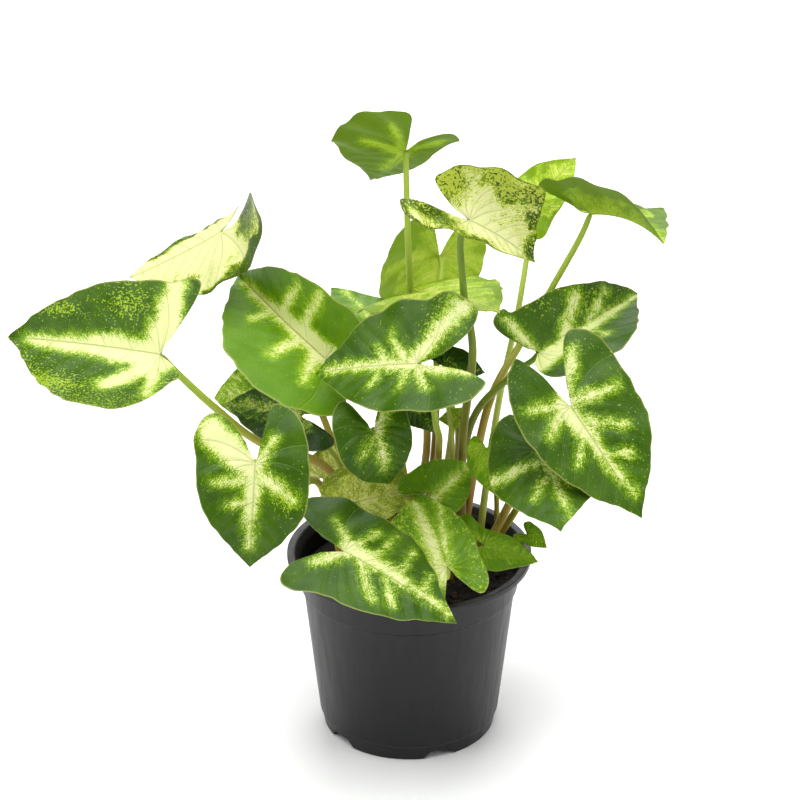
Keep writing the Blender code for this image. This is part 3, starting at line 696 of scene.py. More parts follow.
LEAVES = (
    Leaf("leaf_left_outer", (-116.5, -18, 207), (170, 5, -47), 76.5, 16, 10,
         Half(45.5, 14, 11, 13, fold=13, curl=36),
         Half(35, 3, 11, 39, fold=14, fullness=0.2, tip=50, notch=65),
         (-21, -1.5), ((-37.5, -5.5, 139), (-71, -15, 160), (-91, -16, 178), (-107.5, -13, 193.5)),
         radius=1.9, wave=1.5, ripples=3.2, phase=0.6),
    Leaf("leaf_left_cream", (-90.5, 33, 247.5), (168, -35, -13), 53, -9, -48,
         Half(30.5, 9, 34.5, 21.5, fold=-9, curl=-22, fullness=0.5, notch=3),
         Half(30.5, 6, 8, 18.5, fold=12, curl=-49),
         (-23.5, 17), ((-43.5, 55.5, 140), (-73, 57.5, 191.5)), wave=1, ripples=2.6, colour=CREAM),
    Leaf("leaf_left_large", (-39.5, -9.5, 201), (140, 24, -56), 72, 25, 8,
         Half(40.5, 10, 27.5, 21.5, fold=50, curl=-5),
         Half(33.5, 5, 11, 32.5, fold=38, curl=-4, tip=45),
         (-14.5, 21.5), ((-30, 23.5, 139.5),), radius=1.8),
    Leaf("leaf_middle_back", (-5, 26.5, 192), (132, 23, -11), 54, 19, 12,
         Half(30.5, 6, 17.5, 25.5),
         Half(26.5, 3, 8, 20.5, fold=-6, curl=-21),
         (14.5, 12), ((24, 21.5, 138.5), (17.5, 24, 166))),
    Leaf("leaf_middle_front", (3, -51.5, 218), (162, -10, -39), 52.5, 15, 9,
         Half(26.5, 5, 34.5, 11, fold=12, curl=-10, notch=3),
         Half(31.5, 4, 23.5, 30.5, fold=11, curl=-4, notch=13),
         (9.5, 3), ((14, -1.5, 147.5), (12.5, -34.5, 178.5)), wave=1.2),
    Leaf("leaf_back_bright", (14.5, 71.5, 219.5), (103, -65, 3), 52, 9, 3,
         Half(31.5, 13.5, 31.5, 13.5, fold=3, curl=-26, notch=19),
         Half(23.5, 6, 23.5, 13.5, fold=7, curl=-16),
         (6.5, 12.5), ((12.5, 11.5, 150.5), (13, 34.5, 205)), radius=1.5, colour=BRIGHT),
    Leaf("leaf_back_level", (7, 11.5, 226), (-52, 17, 1), 56, 16, 16,
         Half(30, 6, 32, 6, curl=-16, tip=49),
         Half(29, 4, 27, 21, fold=6, curl=-19),
         (11, 19.5), ((20.5, 18.5, 150), (16, 21, 187.5)), radius=1.4, colour=BRIGHT),
    Leaf("leaf_top", (-2, 32, 289.5), (121, -43, 26), 47, -16, 6,
         Half(34.5, 5, 33.5, 16.5, fold=11, curl=-8),
         Half(15, 3, 22.5, 16.5, fold=15, fullness=0.5, notch=20),
         (-1.5, 11), ((8.5, 7.5, 148.5), (2.5, 25.5, 195), (-0.5, 13.5, 243.5)), colour=BRIGHT),
    Leaf("leaf_top_cream", (27.5, -27.5, 278), (1, -27, 27), 37, 20, 0,
         Half(30, 18.5, 21.5, 14.5, fold=13, curl=48, notch=19),
         Half(14.5, 3, 35, 13.5, fold=22, curl=-12, fullness=0.5, notch=4),
         (26, 3.5), ((25.5, 0.5, 151.5), (29, -33.5, 215), (24.5, -27.5, 245)),
         radius=1.8, wave=1.4, ripples=2.2, colour=CREAM),
    Leaf("leaf_back_right", (60.5, 59, 252.5), (32, 41, 38), 31, 17, 11,
         Half(15, 3, 13, 13),
         Half(12, 2, 14, 12, curl=-12),
         (34.5, 22.5), ((43.5, 46, 147.5), (53, 47.5, 201.5)), radius=1.5, colour=BRIGHT),
    Leaf("leaf_right_top", (86.5, 44.5, 253.5), (-41, 17, -33), 52, 39, -10,
         Half(28.5, 7, 25.5, 23.5, fold=34, curl=-20),
         Half(27.5, 4, 21.5, 19.5, fold=43, curl=-44),
         (25.5, 10), ((37, 10.5, 163.5), (54.5, 40, 187.5), (69, 39.5, 217)), radius=1.7, wave=1),
    Leaf("leaf_right_back", (61.5, 11.5, 195), (39, 14, 33), 68.5, 11, -3,
         Half(23, 0, 10, 26, fold=24, curl=-11, tip=54, notch=50),
         Half(37, 12, 10, 29, fold=37, curl=4, fullness=0.3),
         (20.5, 13), ((29, 6, 157.5), (47.5, 12, 181))),
    Leaf("leaf_right_front", (74.5, -39.5, 190.5), (-43, -41, 23), 60.5, 10, 6,
         Half(32, 10, 30, 26),
         Half(30, 7, 33, 9, fold=15, curl=-11, notch=18),
         (32.5, 4), ((44.5, 3, 108.5), (61, -5.5, 154.5), (64.5, -8.5, 174.5)), radius=1.8),
    Leaf("leaf_right_low", (59.5, -40.5, 168.5), (-79, -22, 9), 51.5, -7, 5,
         Half(29.5, 6, 24.5, 23.5, fold=-1, curl=-19),
         Half(25.5, 11.5, 27.5, 8, fold=4, curl=-23, fullness=0.3),
         (39.5, 17.5), ((54, 11, 114),)),
    Leaf("leaf_young_right", (36.5, -19, 158.5), (-85, -37, 32), 22.5, 18, 14,
         Half(11, 2, 11, 9),
         Half(12, 2, 10, 9, fold=4, curl=-20, notch=33),
         (43, 11), ((42.5, 10.5, 119),), radius=1.2, wave=0.3, colour=BRIGHT),
    Leaf("leaf_middle_low", (11, -21.5, 137), (31, 25, 43), 26.5, 26, 11,
         Half(14, 2, 12, 12),
         Half(15, 3, 11, 11),
         (6.5, -2), radius=1.3, wave=0.5, colour=BRIGHT),
    Leaf("leaf_front_right", (17.5, -66, 121.5), (108, 33, -6), 47, 26, 9,
         Half(30.5, 9, 22.5, 13.5, fold=15, curl=-7),
         Half(16.5, 4, 16.5, 14.5, fullness=0.3),
         (19.5, -8.5), colour=BRIGHT),
    Leaf("leaf_low_right", (36, -22, 108.5), (-13, -6, 27), 27, 20, 10,
         Half(9, 1, 16, 14, fold=11, curl=-10),
         Half(14, 2, 13, 12, fold=7),
         (32.5, -5.5), radius=1.3, wave=0.4, colour=BRIGHT),
    Leaf("leaf_tiny_right", (58, -1, 103), (-39, -15, 37), 11, 18, 12,
         Half(6, 1, 6, 5),
         Half(5, 1, 6, 5),
         (39.5, 8.5), radius=0.9, wave=0.2, colour=BRIGHT),
    Leaf("leaf_front_left", (-29.5, -76, 134.5), (-29, -14, 22), 61.5, 19, 12,
         Half(30, 7, 34, 22.5, fold=-2, curl=-20, tip=30, notch=3),
         Half(25.5, 6, 16.5, 29.5, fold=5, curl=-17, fullness=0.3),
         (-16, -6.5), radius=1.8, wave=1.2, ripples=3),
    Leaf("leaf_left_low", (-70, -68.5, 175.5), (-95, -59, -8), 50.5, 41, 13,
         Half(25.5, 12.5, 28.5, 11.5, curl=-11, notch=23),
         Half(27.5, 4, 20.5, 24.5, notch=23),
         (-31, -11), ((-41.5, -2.5, 127.5), (-51.5, -22, 144)), radius=1.7),
    Leaf("leaf_middle_hanging", (-16.5, -52.5, 184), (-58, -58, 29), 32, 69, 13,
         Half(17.5, 2, 14.5, 14.5, fold=2, curl=-17),
         Half(18.5, 5, 16.5, 12.5, fold=15, curl=-9),
         (-3, 2), ((-3, 1.5, 139),), radius=1.5, wave=0.6),
    Leaf("leaf_middle_yellow", (-24, -23, 132.5), (6, 15, 33), 33, 24, 12,
         Half(21, 4, 16, 13, fold=13, curl=-10, tip=45),
         Half(15, 2, 13, 13, fold=12, curl=-10),
         (-8, 19.5), ((-10.5, 10.5, 116),), radius=1.5, wave=0.6, colour=BRIGHT),
    Leaf("leaf_left_shaded", (-53, 13.5, 160.5), (168, 6, -28), 38, 8, 11,
         Half(21, 4, 20, 14),
         Half(19, 2, 16, 16, fold=5),
         (-25, 7.5), ((-33, 6.5, 135),), radius=1.5, wave=0.5),
    Leaf("leaf_left_pale", (-68, 33.5, 162.5), (168, -7, -52), 32, 25, 10,
         Half(16, 2, 15, 14, fold=7),
         Half(18, 4, 14, 14, fold=13, curl=-11),
         (-24, 27), ((-44.5, 50, 123.5),), radius=1.5, wave=0.6, colour=BRIGHT),
    Leaf("leaf_middle_dark", (-2, 1, 175.5), (-42, -28, 25), 22, 17, 12,
         Half(12, 2, 10, 10),
         Half(11, 1, 11, 8, fold=12, curl=-11),
         (1, 17), ((-7.5, 24.5, 145),), radius=1.3, wave=0.4),
    Leaf("leaf_scale", (23, 4.5, 163.5), (-178, -1, -43), 9, 17, 12,
         Half(5, 1, 5, 4),
         Half(5, 1, 5, 4, fold=7),
         (26.5, 16.5), ((29.5, 34, 129.5),), radius=0.9, wave=0.1, colour=BRIGHT),
    Leaf("leaf_inner_dark", (17, 0, 193), (-6, -2, 35), 19, 19, 12,
         Half(11, 2, 10, 8, fold=11, curl=-11),
         Half(10, 2, 10, 8, fold=7),
         (20, 7), ((20.5, -2, 152.5),), radius=1.2, wave=0.3),
    Leaf("leaf_young_left", (-42.5, 26, 121), (35, 49, 29), 20.5, 18, 12,
         Half(11, 2, 9, 8, curl=-12),
         Half(10, 2, 10, 8),
         (-13, 13.5), radius=1.1, wave=0.3, colour=CREAM),
)

LOOKS = {
    "leaf_left_outer": Look(Tone.DEEP, wash=0.6, specks=(2.2, 1.2),
        patches=(Patch(0.24, -0.28, 0.16, 0.12, 0.5, 2.2),
                 Patch(0.67, -0.2, 0.18, 0.05, 0, 2.4), Patch(0.58, 0.33, 0.21, 0.07, 0, 1.6),
                 Patch(0.29, -0.05, 0.13, 0.08, 0.8, 1.4)),
        arms=(Arm(-0.01, 0.02, 0.85, 0, 0.105, 0.02),
              Arm(0, -0.02, -0.02, -0.43, 0.105, 0.052),
              Arm(0.01, 0.05, 0.26, 0.3, 0.065, 0.039), Arm(0, 0.05, -0.01, 0.35, 0.039, 0.013))),
    "leaf_left_cream": Look(Tone.CREAM, band=0.25, streak=0.07, reach=(0.95, 0.95), wash=3.4,
                            specks=(1.0, 1.0),
        patches=(Patch(-0.44, 0.16, 0.23, 0.17, -9, 1.2),
                 Patch(0.56, -0.3, 0.17, 0.06, -8, 1.2),
                 Patch(0.34, -0.3, 0.17, 0.06, -8, 1.2),
                 Patch(0.16, -0.33, 0.17, 0.06, -7, 1.2),
                 Patch(0.75, -0.19, 0.17, 0.06, -7, 1.2), Patch(0.45, 0, 0.26, 0.13, 0, 1.3))),
    "leaf_left_large": Look(Tone.FRESH, wash=0.6, specks=(0.5, 0.5),
        arms=(Arm(-0.01, -0.04, 0.88, 0.01, 0.09, 0.017),
              Arm(0.26, -0.02, 0.19, -0.4, 0.042, 0.011),
              Arm(0.47, -0.02, 0.38, -0.33, 0.028, 0.007),
              Arm(0.22, 0.02, 0.23, 0.28, 0.042, 0.011),
              Arm(0.07, 0.02, -0.06, 0.26, 0.042, 0.011),
              Arm(0.53, -0.01, 0.54, 0.18, 0.025, 0.006))),
    "leaf_middle_back": Look(Tone.FRESH, wash=-0.2, specks=(1.6, 1.0),
        arms=(Arm(0.24, 0.05, 0.87, -0.07, 0.03, 0.015),)),
    "leaf_middle_front": Look(Tone.DEEP, wash=0.4,
        patches=(Patch(-0.27, -0.46, 0.17, 0.17, -1.2, 2.8),
                 Patch(-0.09, -0.32, 0.13, 0.11, 0, 1.6)),
        arms=(Arm(0.04, 0.01, 0.88, -0.01, 0.057, 0.023),
              Arm(0.04, -0.01, -0.36, -0.53, 0.061, 0.086),
              Arm(0.1, -0.02, 0.25, -0.27, 0.034, 0.01),
              Arm(0.26, 0.01, 0.39, -0.18, 0.027, 0.008),
              Arm(0.01, 0.02, -0.5, 0.11, 0.046, 0.015),
              Arm(0.07, 0.04, 0.1, 0.25, 0.042, 0.011),
              Arm(0.33, 0.04, 0.39, 0.21, 0.03, 0.008),
              Arm(-0.01, 0.04, -0.12, 0.25, 0.034, 0.01))),
    "leaf_back_bright": Look(Tone.LIME, streak=0.05, reach=(0.9, 0.9), wash=0.3),
    "leaf_back_level": Look(Tone.LIME, band=0.05, reach=(0.9, 0.9), stalk=Stalk.PALE),
    "leaf_top": Look(Tone.BACK, wash=0.5, specks=(0.3, 0.3),
        arms=(Arm(0.04, 0, 0.09, 0.41, 0.064, 0.017), Arm(0.1, 0, 0.53, 0.03, 0.043, 0.013),
              Arm(0, 0.03, -0.39, 0.31, 0.043, 0.013), Arm(-0.01, 0, -0.26, -0.28, 0.03, 0.013))),
    "leaf_top_cream": Look(Tone.CREAM, band=0.2, streak=0.07, reach=(0.95, 0.95), wash=2.2,
                           specks=(2.0, 2.0), stalk=Stalk.DARK,
        patches=(Patch(-0.4, 0.34, 0.27, 0.22, -3.5, 2.4),
                 Patch(0.08, 0.65, 0.38, 0.14, -3, 2), Patch(-0.53, -0.21, 0.38, 0.14, -6, 0),
                 Patch(-0.71, -0.15, 0.22, 0.08, -4, 1),
                 Patch(0.91, 0.11, 0.16, 0.24, -6, 0.5), Patch(0.11, -0.38, 0.38, 0.08, -4, 0),
                 Patch(0.25, 0.51, 0.16, 0.11, -3.5, 1), Patch(0.54, 0.8, 0.14, 0.19, -2, 2))),
    "leaf_back_right": Look(Tone.LIME, band=0.03, streak=0.03, reach=(0.8, 0.8), wash=-0.2,
                            stalk=Stalk.PALE),
    "leaf_right_top": Look(Tone.BACK, band=0.08, reach=(0.6, 0.6), wash=0.2, specks=(0.2, 0.2)),
    "leaf_right_back": Look(Tone.DEEP, wash=0.6, specks=(1.2, 0.8), stalk=Stalk.DARK,
        patches=(Patch(0.55, 0.07, 0.23, 0.13, 0, 2), Patch(0.26, 0.29, 0.15, 0.09, 0, 1)),
        arms=(Arm(-0.13, -0.12, 0.96, -0.02, 0.102, 0.012),
              Arm(0.21, -0.04, 0.51, 0.21, 0.044, 0.022),
              Arm(-0.03, 0.04, -0.09, 0.32, 0.038, 0.012),
              Arm(0.48, -0.02, 0.74, 0.13, 0.023, 0.009),
              Arm(0.4, -0.05, 0.42, -0.25, 0.018, 0.006))),
    "leaf_right_front": Look(Tone.DEEP, wash=0.5, specks=(1.0, 1.0),
        arms=(Arm(-0.04, -0.06, 0.82, 0.05, 0.074, 0.013),
              Arm(-0.05, -0.05, -0.38, 0.29, 0.05, 0.02),
              Arm(-0.04, -0.03, 0.04, 0.39, 0.041, 0.013),
              Arm(0.1, -0.04, 0.33, 0.29, 0.03, 0.01),
              Arm(-0.05, -0.09, -0.13, -0.35, 0.033, 0.013),
              Arm(0, -0.1, 0.13, -0.32, 0.033, 0.01),
              Arm(0.22, -0.02, 0.41, -0.24, 0.026, 0.008),
              Arm(0.45, 0, 0.53, 0.19, 0.023, 0.008))),
    "leaf_right_low": Look(Tone.DEEP, specks=(1.0, 1.0),
        arms=(Arm(0.02, 0.05, 0.86, 0.12, 0.058, 0.016),
              Arm(0.13, 0.05, 0.22, -0.48, 0.031, 0.05),
              Arm(0.27, 0.07, 0.56, -0.16, 0.027, 0.012),
              Arm(0.44, 0.11, 0.41, 0.39, 0.023, 0.01))),
    "leaf_young_right": Look(Tone.YOUNG, band=0.03, streak=0.03, reach=(0.8, 0.8), wash=-0.3),
    "leaf_middle_low": Look(Tone.FRESH, specks=(1.2, 1.2),
        arms=(Arm(-0.15, -0.12, 0.93, 0, 0.091, 0.03),)),
    "leaf_front_right": Look(Tone.FRESH, wash=-0.6, specks=(1.8, 1.8),
        patches=(Patch(0.3, 0.3, 0.6, 0.2, 1.0, 1.0),),
        arms=(Arm(0.81, 0.1, -0.15, 0.06, 0.064, 0.106),
              Arm(0.8, -0.14, 0.06, -0.02, 0.032, 0.043))),
    "leaf_low_right": Look(Tone.YOUNG, band=0.02, streak=0.02, wash=-0.6, specks=(0.2, 0.2)),
    "leaf_tiny_right": Look(Tone.YOUNG, band=0.02, streak=0.02, wash=-0.6, specks=(0.2, 0.2)),
    "leaf_front_left": Look(Tone.DEEP, wash=0.1, specks=(0.6, 0.6),
        arms=(Arm(0.01, 0.05, 0.91, 0.02, 0.073, 0.016),
              Arm(0, 0.07, -0.23, 0.23, 0.033, 0.013),
              Arm(0.02, 0.01, -0.15, -0.21, 0.065, 0.02),
              Arm(0.02, 0.06, 0.1, 0.3, 0.029, 0.016),
              Arm(0.21, 0.05, 0.23, 0.39, 0.023, 0.013),
              Arm(0.44, 0.05, 0.42, 0.32, 0.02, 0.01), Arm(0.13, 0, 0.39, -0.24, 0.033, 0.013),
              Arm(0.38, -0.04, 0.55, -0.19, 0.023, 0.01),
              Arm(0.66, 0.01, 0.64, 0.22, 0.018, 0.008))),
    "leaf_left_low": Look(Tone.DEEP, wash=0.5,
        patches=(Patch(-0.28, -0.41, 0.16, 0.18, 0, 2), Patch(0.31, 0.28, 0.18, 0.14, 0.4, 2.4)),
        arms=(Arm(0.06, -0.01, 0.77, -0.02, 0.079, 0.016),
              Arm(0.04, -0.04, -0.26, -0.4, 0.119, 0.119),
              Arm(0.16, -0.01, 0.18, -0.38, 0.036, 0.01),
              Arm(0.09, 0.01, 0.3, 0.35, 0.059, 0.028),
              Arm(0.04, 0.01, -0.23, 0.16, 0.04, 0.012),
              Arm(0.33, -0.01, 0.38, -0.22, 0.032, 0.01))),
    "leaf_middle_hanging": Look(Tone.DEEP,
        arms=(Arm(-0.01, 0.08, 0.62, 0, 0.069, 0.037),
              Arm(-0.03, 0.08, -0.36, 0.29, 0.062, 0.05),
              Arm(0.07, 0.01, 0.29, -0.3, 0.037, 0.016))),
    "leaf_middle_yellow": Look(Tone.OLIVE, streak=0.05, reach=(0.7, 0.95), wash=0.3,
                               specks=(2.0, 2.0)),
    # Leaves that lie in shadow inside the plant take the tone with painted shade
    "leaf_left_shaded": Look(Tone.PAINTED_SHADE, reach=(0.6, 0.6), wash=-0.1),
    "leaf_left_pale": Look(Tone.FRESH, band=0.04, reach=(0.9, 0.9), specks=(1.2, 1.2)),
    "leaf_middle_dark": Look(Tone.PAINTED_SHADE, band=0.02, streak=0.02, reach=(0.4, 0.4), wash=-0.8),
    "leaf_scale": Look(Tone.LIME, band=0.02, streak=0.02, reach=(0.6, 0.6), wash=0.4),
    "leaf_inner_dark": Look(Tone.PAINTED_SHADE, band=0.02, streak=0.02, reach=(0.4, 0.4), wash=-0.8),
    "leaf_young_left": Look(Tone.OLIVE, reach=(0.8, 0.8), wash=1.0),
}


@dataclass
class LeafBuilder:
    """Builds the fine mesh of a leaf over the same surface as its CAD node.

    Attributes:
        leaf, look: the leaf's sizes and its marks.
        seed: offset of its patterns, so that no two leaves match.
        front_rows, shoulder_rows, notch_rows: rows ahead of the petiole, round the lobe and
            in the notch.
        across, crowding: steps from midrib to margin, and how closely they start.
        thickness, thinning: of the blade, and the share of it that is gone at the margin.
        rib_height, rib_width, side_rib, side_sharp: height and half width of the midrib below
            the blade, and height and sharpness of the side veins there.
        quilt: height of the swellings between the side veins.
        unrest, unrest_scale, unrest_seed: height of the blade's slow waves, their number per
            millimetre, and where their noise starts.
        nick_depth, nick_scale, nick_bias, nick_rise, nick_seed: share of the blade that a dent
            in the margin takes, dents per millimetre, how common they are, the width at which
            they are full, and where their noise starts.
        lobe_reach, half_reach: shares of the midrib over which lobes bend and halves curl.
        fan_step, sinus_half, sinus_reach, sinus_last: how rows fan round the petiole and end
            at the notch, as in the part's source.
        vein_spacing, vein_angle, vein_turn: side veins' distance as a share of the midrib,
            their angle to it, and the angle between them round the petiole.
        fray, cream_unrest, cream_scale: millimetres of depth for each level of cream, height
            of its slow noise in levels, and that noise's scale per millimetre.
        level_least, level_most: limits of the cream level.
        band_root, band_taper: the band's width at the petiole, and what it loses by the tip.
        streak_fray, streak_taper: as fray, for streaks, and what they lose by the tip.
        luck_plain, run_least, run_gain: usual strength of a streak, and how its run grows.
        speck_least, speck_gain: specks at the midrib, and what they gain by the margin.
        petiole_steps, petiole_sides: points along the stalk and round it.
        hole_depth: how deep the stalk stands in the soil.
        foot_swell, top_swell, joint_swell, neck: the stalk's share of its radius at its foot,
            its top, its joint and inside the blade.
        neck_drop, neck_full, neck_least: how far the stalk's neck hangs below the blade, the
            length of leaf from which it is full, and its least share.
        bow_rise, arrive_pull: how the stalk's curve starts upwards and ends.
        joint_drop, joint_back, end_drop, end_ahead: where the joint and the end lie.
        stalk_oval: how far the stalk's section is from round.
        streak_turn, streak_run: how the stalk's streaks are laid round it and along it.
        crease: least angle of a sharp edge, in degrees.
    """
    leaf: Leaf
    look: Look
    seed: float
    front_rows: int = 40
    shoulder_rows: int = 16
    notch_rows: int = 12
    across: int = 14
    crowding: float = 1.25
    thickness: float = 0.5
    thinning: float = 0.4
    rib_height: float = 0.9
    rib_width: float = 1.5
    side_rib: float = 0.25
    side_sharp: int = 8
    quilt: float = 0.7
    unrest: float = 1.6
    unrest_scale: float = 0.06
    unrest_seed: float = 5.0
    nick_depth: float = 0.03
    nick_scale: float = 0.16
    nick_bias: float = 0.4
    nick_rise: float = 6.0
    nick_seed: float = 9.0
    lobe_reach: float = 0.55
    half_reach: float = 0.5
    fan_step: float = 5.0
    sinus_half: float = 7.0
    sinus_reach: float = 0.35
    sinus_last: float = 0.82
    vein_spacing: float = 0.17
    vein_angle: float = math.radians(59.0)
    vein_turn: float = math.radians(24.0)
    fray: float = 1.2
    cream_unrest: float = 1.6
    cream_scale: float = 0.12
    level_least: float = -7.0
    level_most: float = 5.0
    band_root: float = 1.1
    band_taper: float = 0.85
    streak_fray: float = 2.0
    streak_taper: float = 0.45
    luck_plain: float = 0.8
    run_least: float = 0.55
    run_gain: float = 0.5
    speck_least: float = 0.35
    speck_gain: float = 0.9
    petiole_steps: int = 44
    petiole_sides: int = 12
    hole_depth: float = 6.7
    foot_swell: float = 1.25
    top_swell: float = 0.85
    joint_swell: float = 0.75
    neck: float = 0.4
    neck_drop: float = 4.5
    neck_full: float = 45.0
    neck_least: float = 0.5
    bow_rise: float = 0.2
    arrive_pull: float = 0.7
    joint_drop: float = 2.0
    joint_back: float = 0.2
    end_drop: float = 0.4
    end_ahead: float = 0.6
    stalk_oval: float = 0.06
    streak_turn: float = 2.2
    streak_run: float = 0.1
    crease: float = 60.0

    def __post_init__(self) -> None:
        """Draw the strength of each side vein's streak, and start with an empty mesh."""
        draw = random.Random(int(self.seed))
        self.luck = {(number, side): draw.uniform(0.1, 1.3)
                     for number in range(-9, 10) for side in (-1.0, 1.0)}
        # The second vein round the petiole, which runs into the lobe, is always strong
        self.luck |= {(-2, side): draw.uniform(0.9, 1.3) for side in (-1.0, 1.0)}
        self.specks: list[float] = []
        self.corners: list[Vector] = []
        self.faces: list[tuple[int, ...]] = []
        self.slots: list[int] = []
        self.veins: list[Point] = []
        self.tints: list[Point] = []
        self.spots: list[Point] = []

    def space(self) -> Matrix:
        """Place the leaf's own space in the plant's.

        Returns:
            The matrix between them, in millimetres.
        """
        heading, pitch, roll = (math.radians(angle) for angle in self.leaf.aim)
        return (Matrix.Translation(self.leaf.at) @ Matrix.Rotation(heading, 4, "Z")
                @ Matrix.Rotation(-pitch, 4, "Y") @ Matrix.Rotation(roll, 4, "X"))

    def rows(self, half: Half) -> list[tuple[Vector, Vector]]:
        """List the rows of a flat half as (spine point, margin point), from tip to notch.

        Args:
            half: the half's sizes.

        Returns:
            The rows, in millimetres.
        """
        first, second, third = margin_curves(half, self.leaf.length)
        rows = []
        for step in range(self.front_rows + 1):
            share = step / self.front_rows
            spine = Vector((self.leaf.length * (1.0 - share), 0.0))
            rows.append((spine, bezier(first, share)))
        points = [bezier(second, step / self.shoulder_rows)
                  for step in range(1, self.shoulder_rows + 1)]
        points += [bezier(third, self.sinus_last * step / self.notch_rows)
                   for step in range(1, self.notch_rows + 1)]
        last = math.pi - math.radians(self.sinus_half)
        least = math.radians(self.fan_step) * 2.0 / self.notch_rows
        angle = math.atan2(half.width, half.at)
        for number, point in enumerate(points):
            left = len(points) - 1 - number
            angle = max(math.atan2(max(point.y, 0.0), point.x), angle + 0.002)
            angle = min(angle, last - least * left)
            reach = max(point.length, self.sinus_reach * math.hypot(half.back, half.out))
            rows.append((Vector((0.0, 0.0)),
                         reach * Vector((math.cos(angle), math.sin(angle)))))
        return [(spine, margin * (1.0 - self.nick(margin))) for spine, margin in rows]

    def nick(self, margin: Vector) -> float:
        """Work out how far the uneven margin falls short of the plain one.

        Args:
            margin: the point on the plain margin, in millimetres.

        Returns:
            The share that is missing.
        """
        place = Vector((self.nick_scale * margin.x, self.nick_scale * margin.y,
                        self.seed + self.nick_seed))
        return (self.nick_depth * max(0.0, self.nick_bias + noise.noise(place))
                * min(1.0, margin.y / self.nick_rise))

    def vein_place(self, flat: Vector) -> Point:
        """Give a flat point's place among the side veins.

        Args:
            flat: the point on the half, in millimetres.

        Returns:
            The count of veins from the petiole's, the millimetres between veins there, and
            the millimetres along the vein.
        """
        length = self.leaf.length
        bow = flat.y * flat.y / length
        start = flat.x - flat.y / math.tan(self.vein_angle) - bow
        if start >= 0.0:
            spacing = self.vein_spacing * length
            return (start / spacing, spacing * math.sin(self.vein_angle),
                    flat.y / math.sin(self.vein_angle))
        turn = math.atan2(flat.y, flat.x - bow) - self.vein_angle
        reach = flat.length
        return (-turn / self.vein_turn, max(reach * self.vein_turn, 0.1), reach)

    def cream_level(self, flat: Vector, side: float, share: float, vein: Point) -> float:
        """Work out how cream the blade is at a flat point.

        Args:
            flat: the point on the half, in millimetres.
            side: 1 on the left half and -1 on the right.
            share: how far it lies from the midrib to the margin.
            vein: the point's place among the side veins.

        Returns:
            The level: above 0 in the cream and below 0 in the green.
        """
        look, length = self.look, self.leaf.length
        x, y = flat.x / length, flat.y / length
        if look.arms:
            level = max(arm.depth(x, side * y) for arm in look.arms) * length / self.fray
        else:
            level = self.streaks(x, y, side, share, vein)
        level += look.wash + self.cream_unrest * noise.noise(Vector((
            self.cream_scale * flat.x, self.cream_scale * side * flat.y, self.seed)))
        for patch in look.patches:
            level += patch.amount * self.nearness(patch, x, side * y)
        return max(self.level_least, min(self.level_most, level))

    def streaks(self, x: float, y: float, side: float, share: float, vein: Point) -> float:
        """Work out the cream of a band on the midrib and streaks on the side veins.

        Args:
            x, y: the point on the half, as shares of the midrib.
            side: 1 on the left half and -1 on the right.
            share: how far it lies from the midrib to the margin.
            vein: the point's place among the side veins.

        Returns:
            The level: above 0 in the cream and below 0 in the green.
        """
        look, length = self.look, self.leaf.length
        beside = y if x >= 0.0 else math.hypot(x, y)
        band = look.band * (self.band_root - self.band_taper * max(x, 0.0))
        level = (band - beside) * length / self.streak_fray
        number = round(vein[0])
        luck = self.luck.get((number, side), self.luck_plain)
        reach = (look.reach[0 if side > 0 else 1]
                 * (self.run_least + self.run_gain * luck))
        if share < reach:
            off = abs(vein[0] - number) * vein[1] / length
            room = (look.streak * luck * (1.0 - share / reach)
                    * (1.0 - self.streak_taper * max(x, 0.0)))
            level = max(level, (room - off) * length / self.streak_fray)
        return level

    @staticmethod
    def nearness(patch: Patch, x: float, y: float) -> float:
        """Give 1 at the middle of a patch, and less away from it."""
        return math.exp(-((x - patch.x) / patch.long) ** 2 - ((y - patch.y) / patch.wide) ** 2)

    def speck_level(self, flat: Vector, side: float, share: float) -> float:
        """Work out how thick loose specks lie at a flat point.

        Args:
            flat: the point on the half, in millimetres.
            side: 1 on the left half and -1 on the right.
            share: how far it lies from the midrib to the margin.

        Returns:
            0 for hardly any, and 3 for a fine net of them.
        """
        x, y = flat.x / self.leaf.length, side * flat.y / self.leaf.length
        level = (self.look.specks[0 if side > 0 else 1]
                 * (self.speck_least + self.speck_gain * share))
        for patch in self.look.patches:
            level += patch.specks * self.nearness(patch, x, y)
        return level

    def bend(self, half: Half, side: float, flat: Vector, vein: Point, share: float) -> Vector:
        """Bend a point of the flat blade into the leaf's own space.

        Args:
            half: the half that the point is on.
            side: 1 on the left half and -1 on the right.
            flat: the point, in millimetres.
            vein: the point's place among the side veins.
            share: how far it lies from the midrib to the margin.

        Returns:
            The bent point.
        """
        leaf = self.leaf
        turn = math.radians(leaf.droop) / leaf.length
        if flat.x < 0.0:
            turn = math.radians(leaf.lobe_drop) / (self.lobe_reach * leaf.length)
        turn = turn or LEAST_TURN
        reach = self.half_reach * leaf.length
        fold = math.radians(half.fold)
        curl = math.radians(half.curl) or LEAST_CURL
        place = flat.y / reach
        out = (math.sin(fold + curl * place) - math.sin(fold)) * reach / curl
        rise = (math.cos(fold) - math.cos(fold + curl * place)) * reach / curl
        ripple = math.sin(2.0 * math.pi * leaf.ripples * flat.x / leaf.length
                          + leaf.phase + side)
        rise += leaf.wave * ripple * min(place, 1.0) ** 2
        swell = math.sin(math.pi * vein[0]) ** 2 - 1.0
        # The swellings are highest halfway to the margin
        rise += self.quilt * swell * 4.0 * share * (1.0 - share)
        rise += self.unrest * share * noise.noise(Vector((
            self.unrest_scale * flat.x, self.unrest_scale * side * flat.y,
            self.seed + self.unrest_seed)))
        angle = turn * flat.x
        return Vector((math.sin(angle) / turn + rise * math.sin(angle),
                       side * out,
                       (math.cos(angle) - 1.0) / turn + rise * math.cos(angle)))

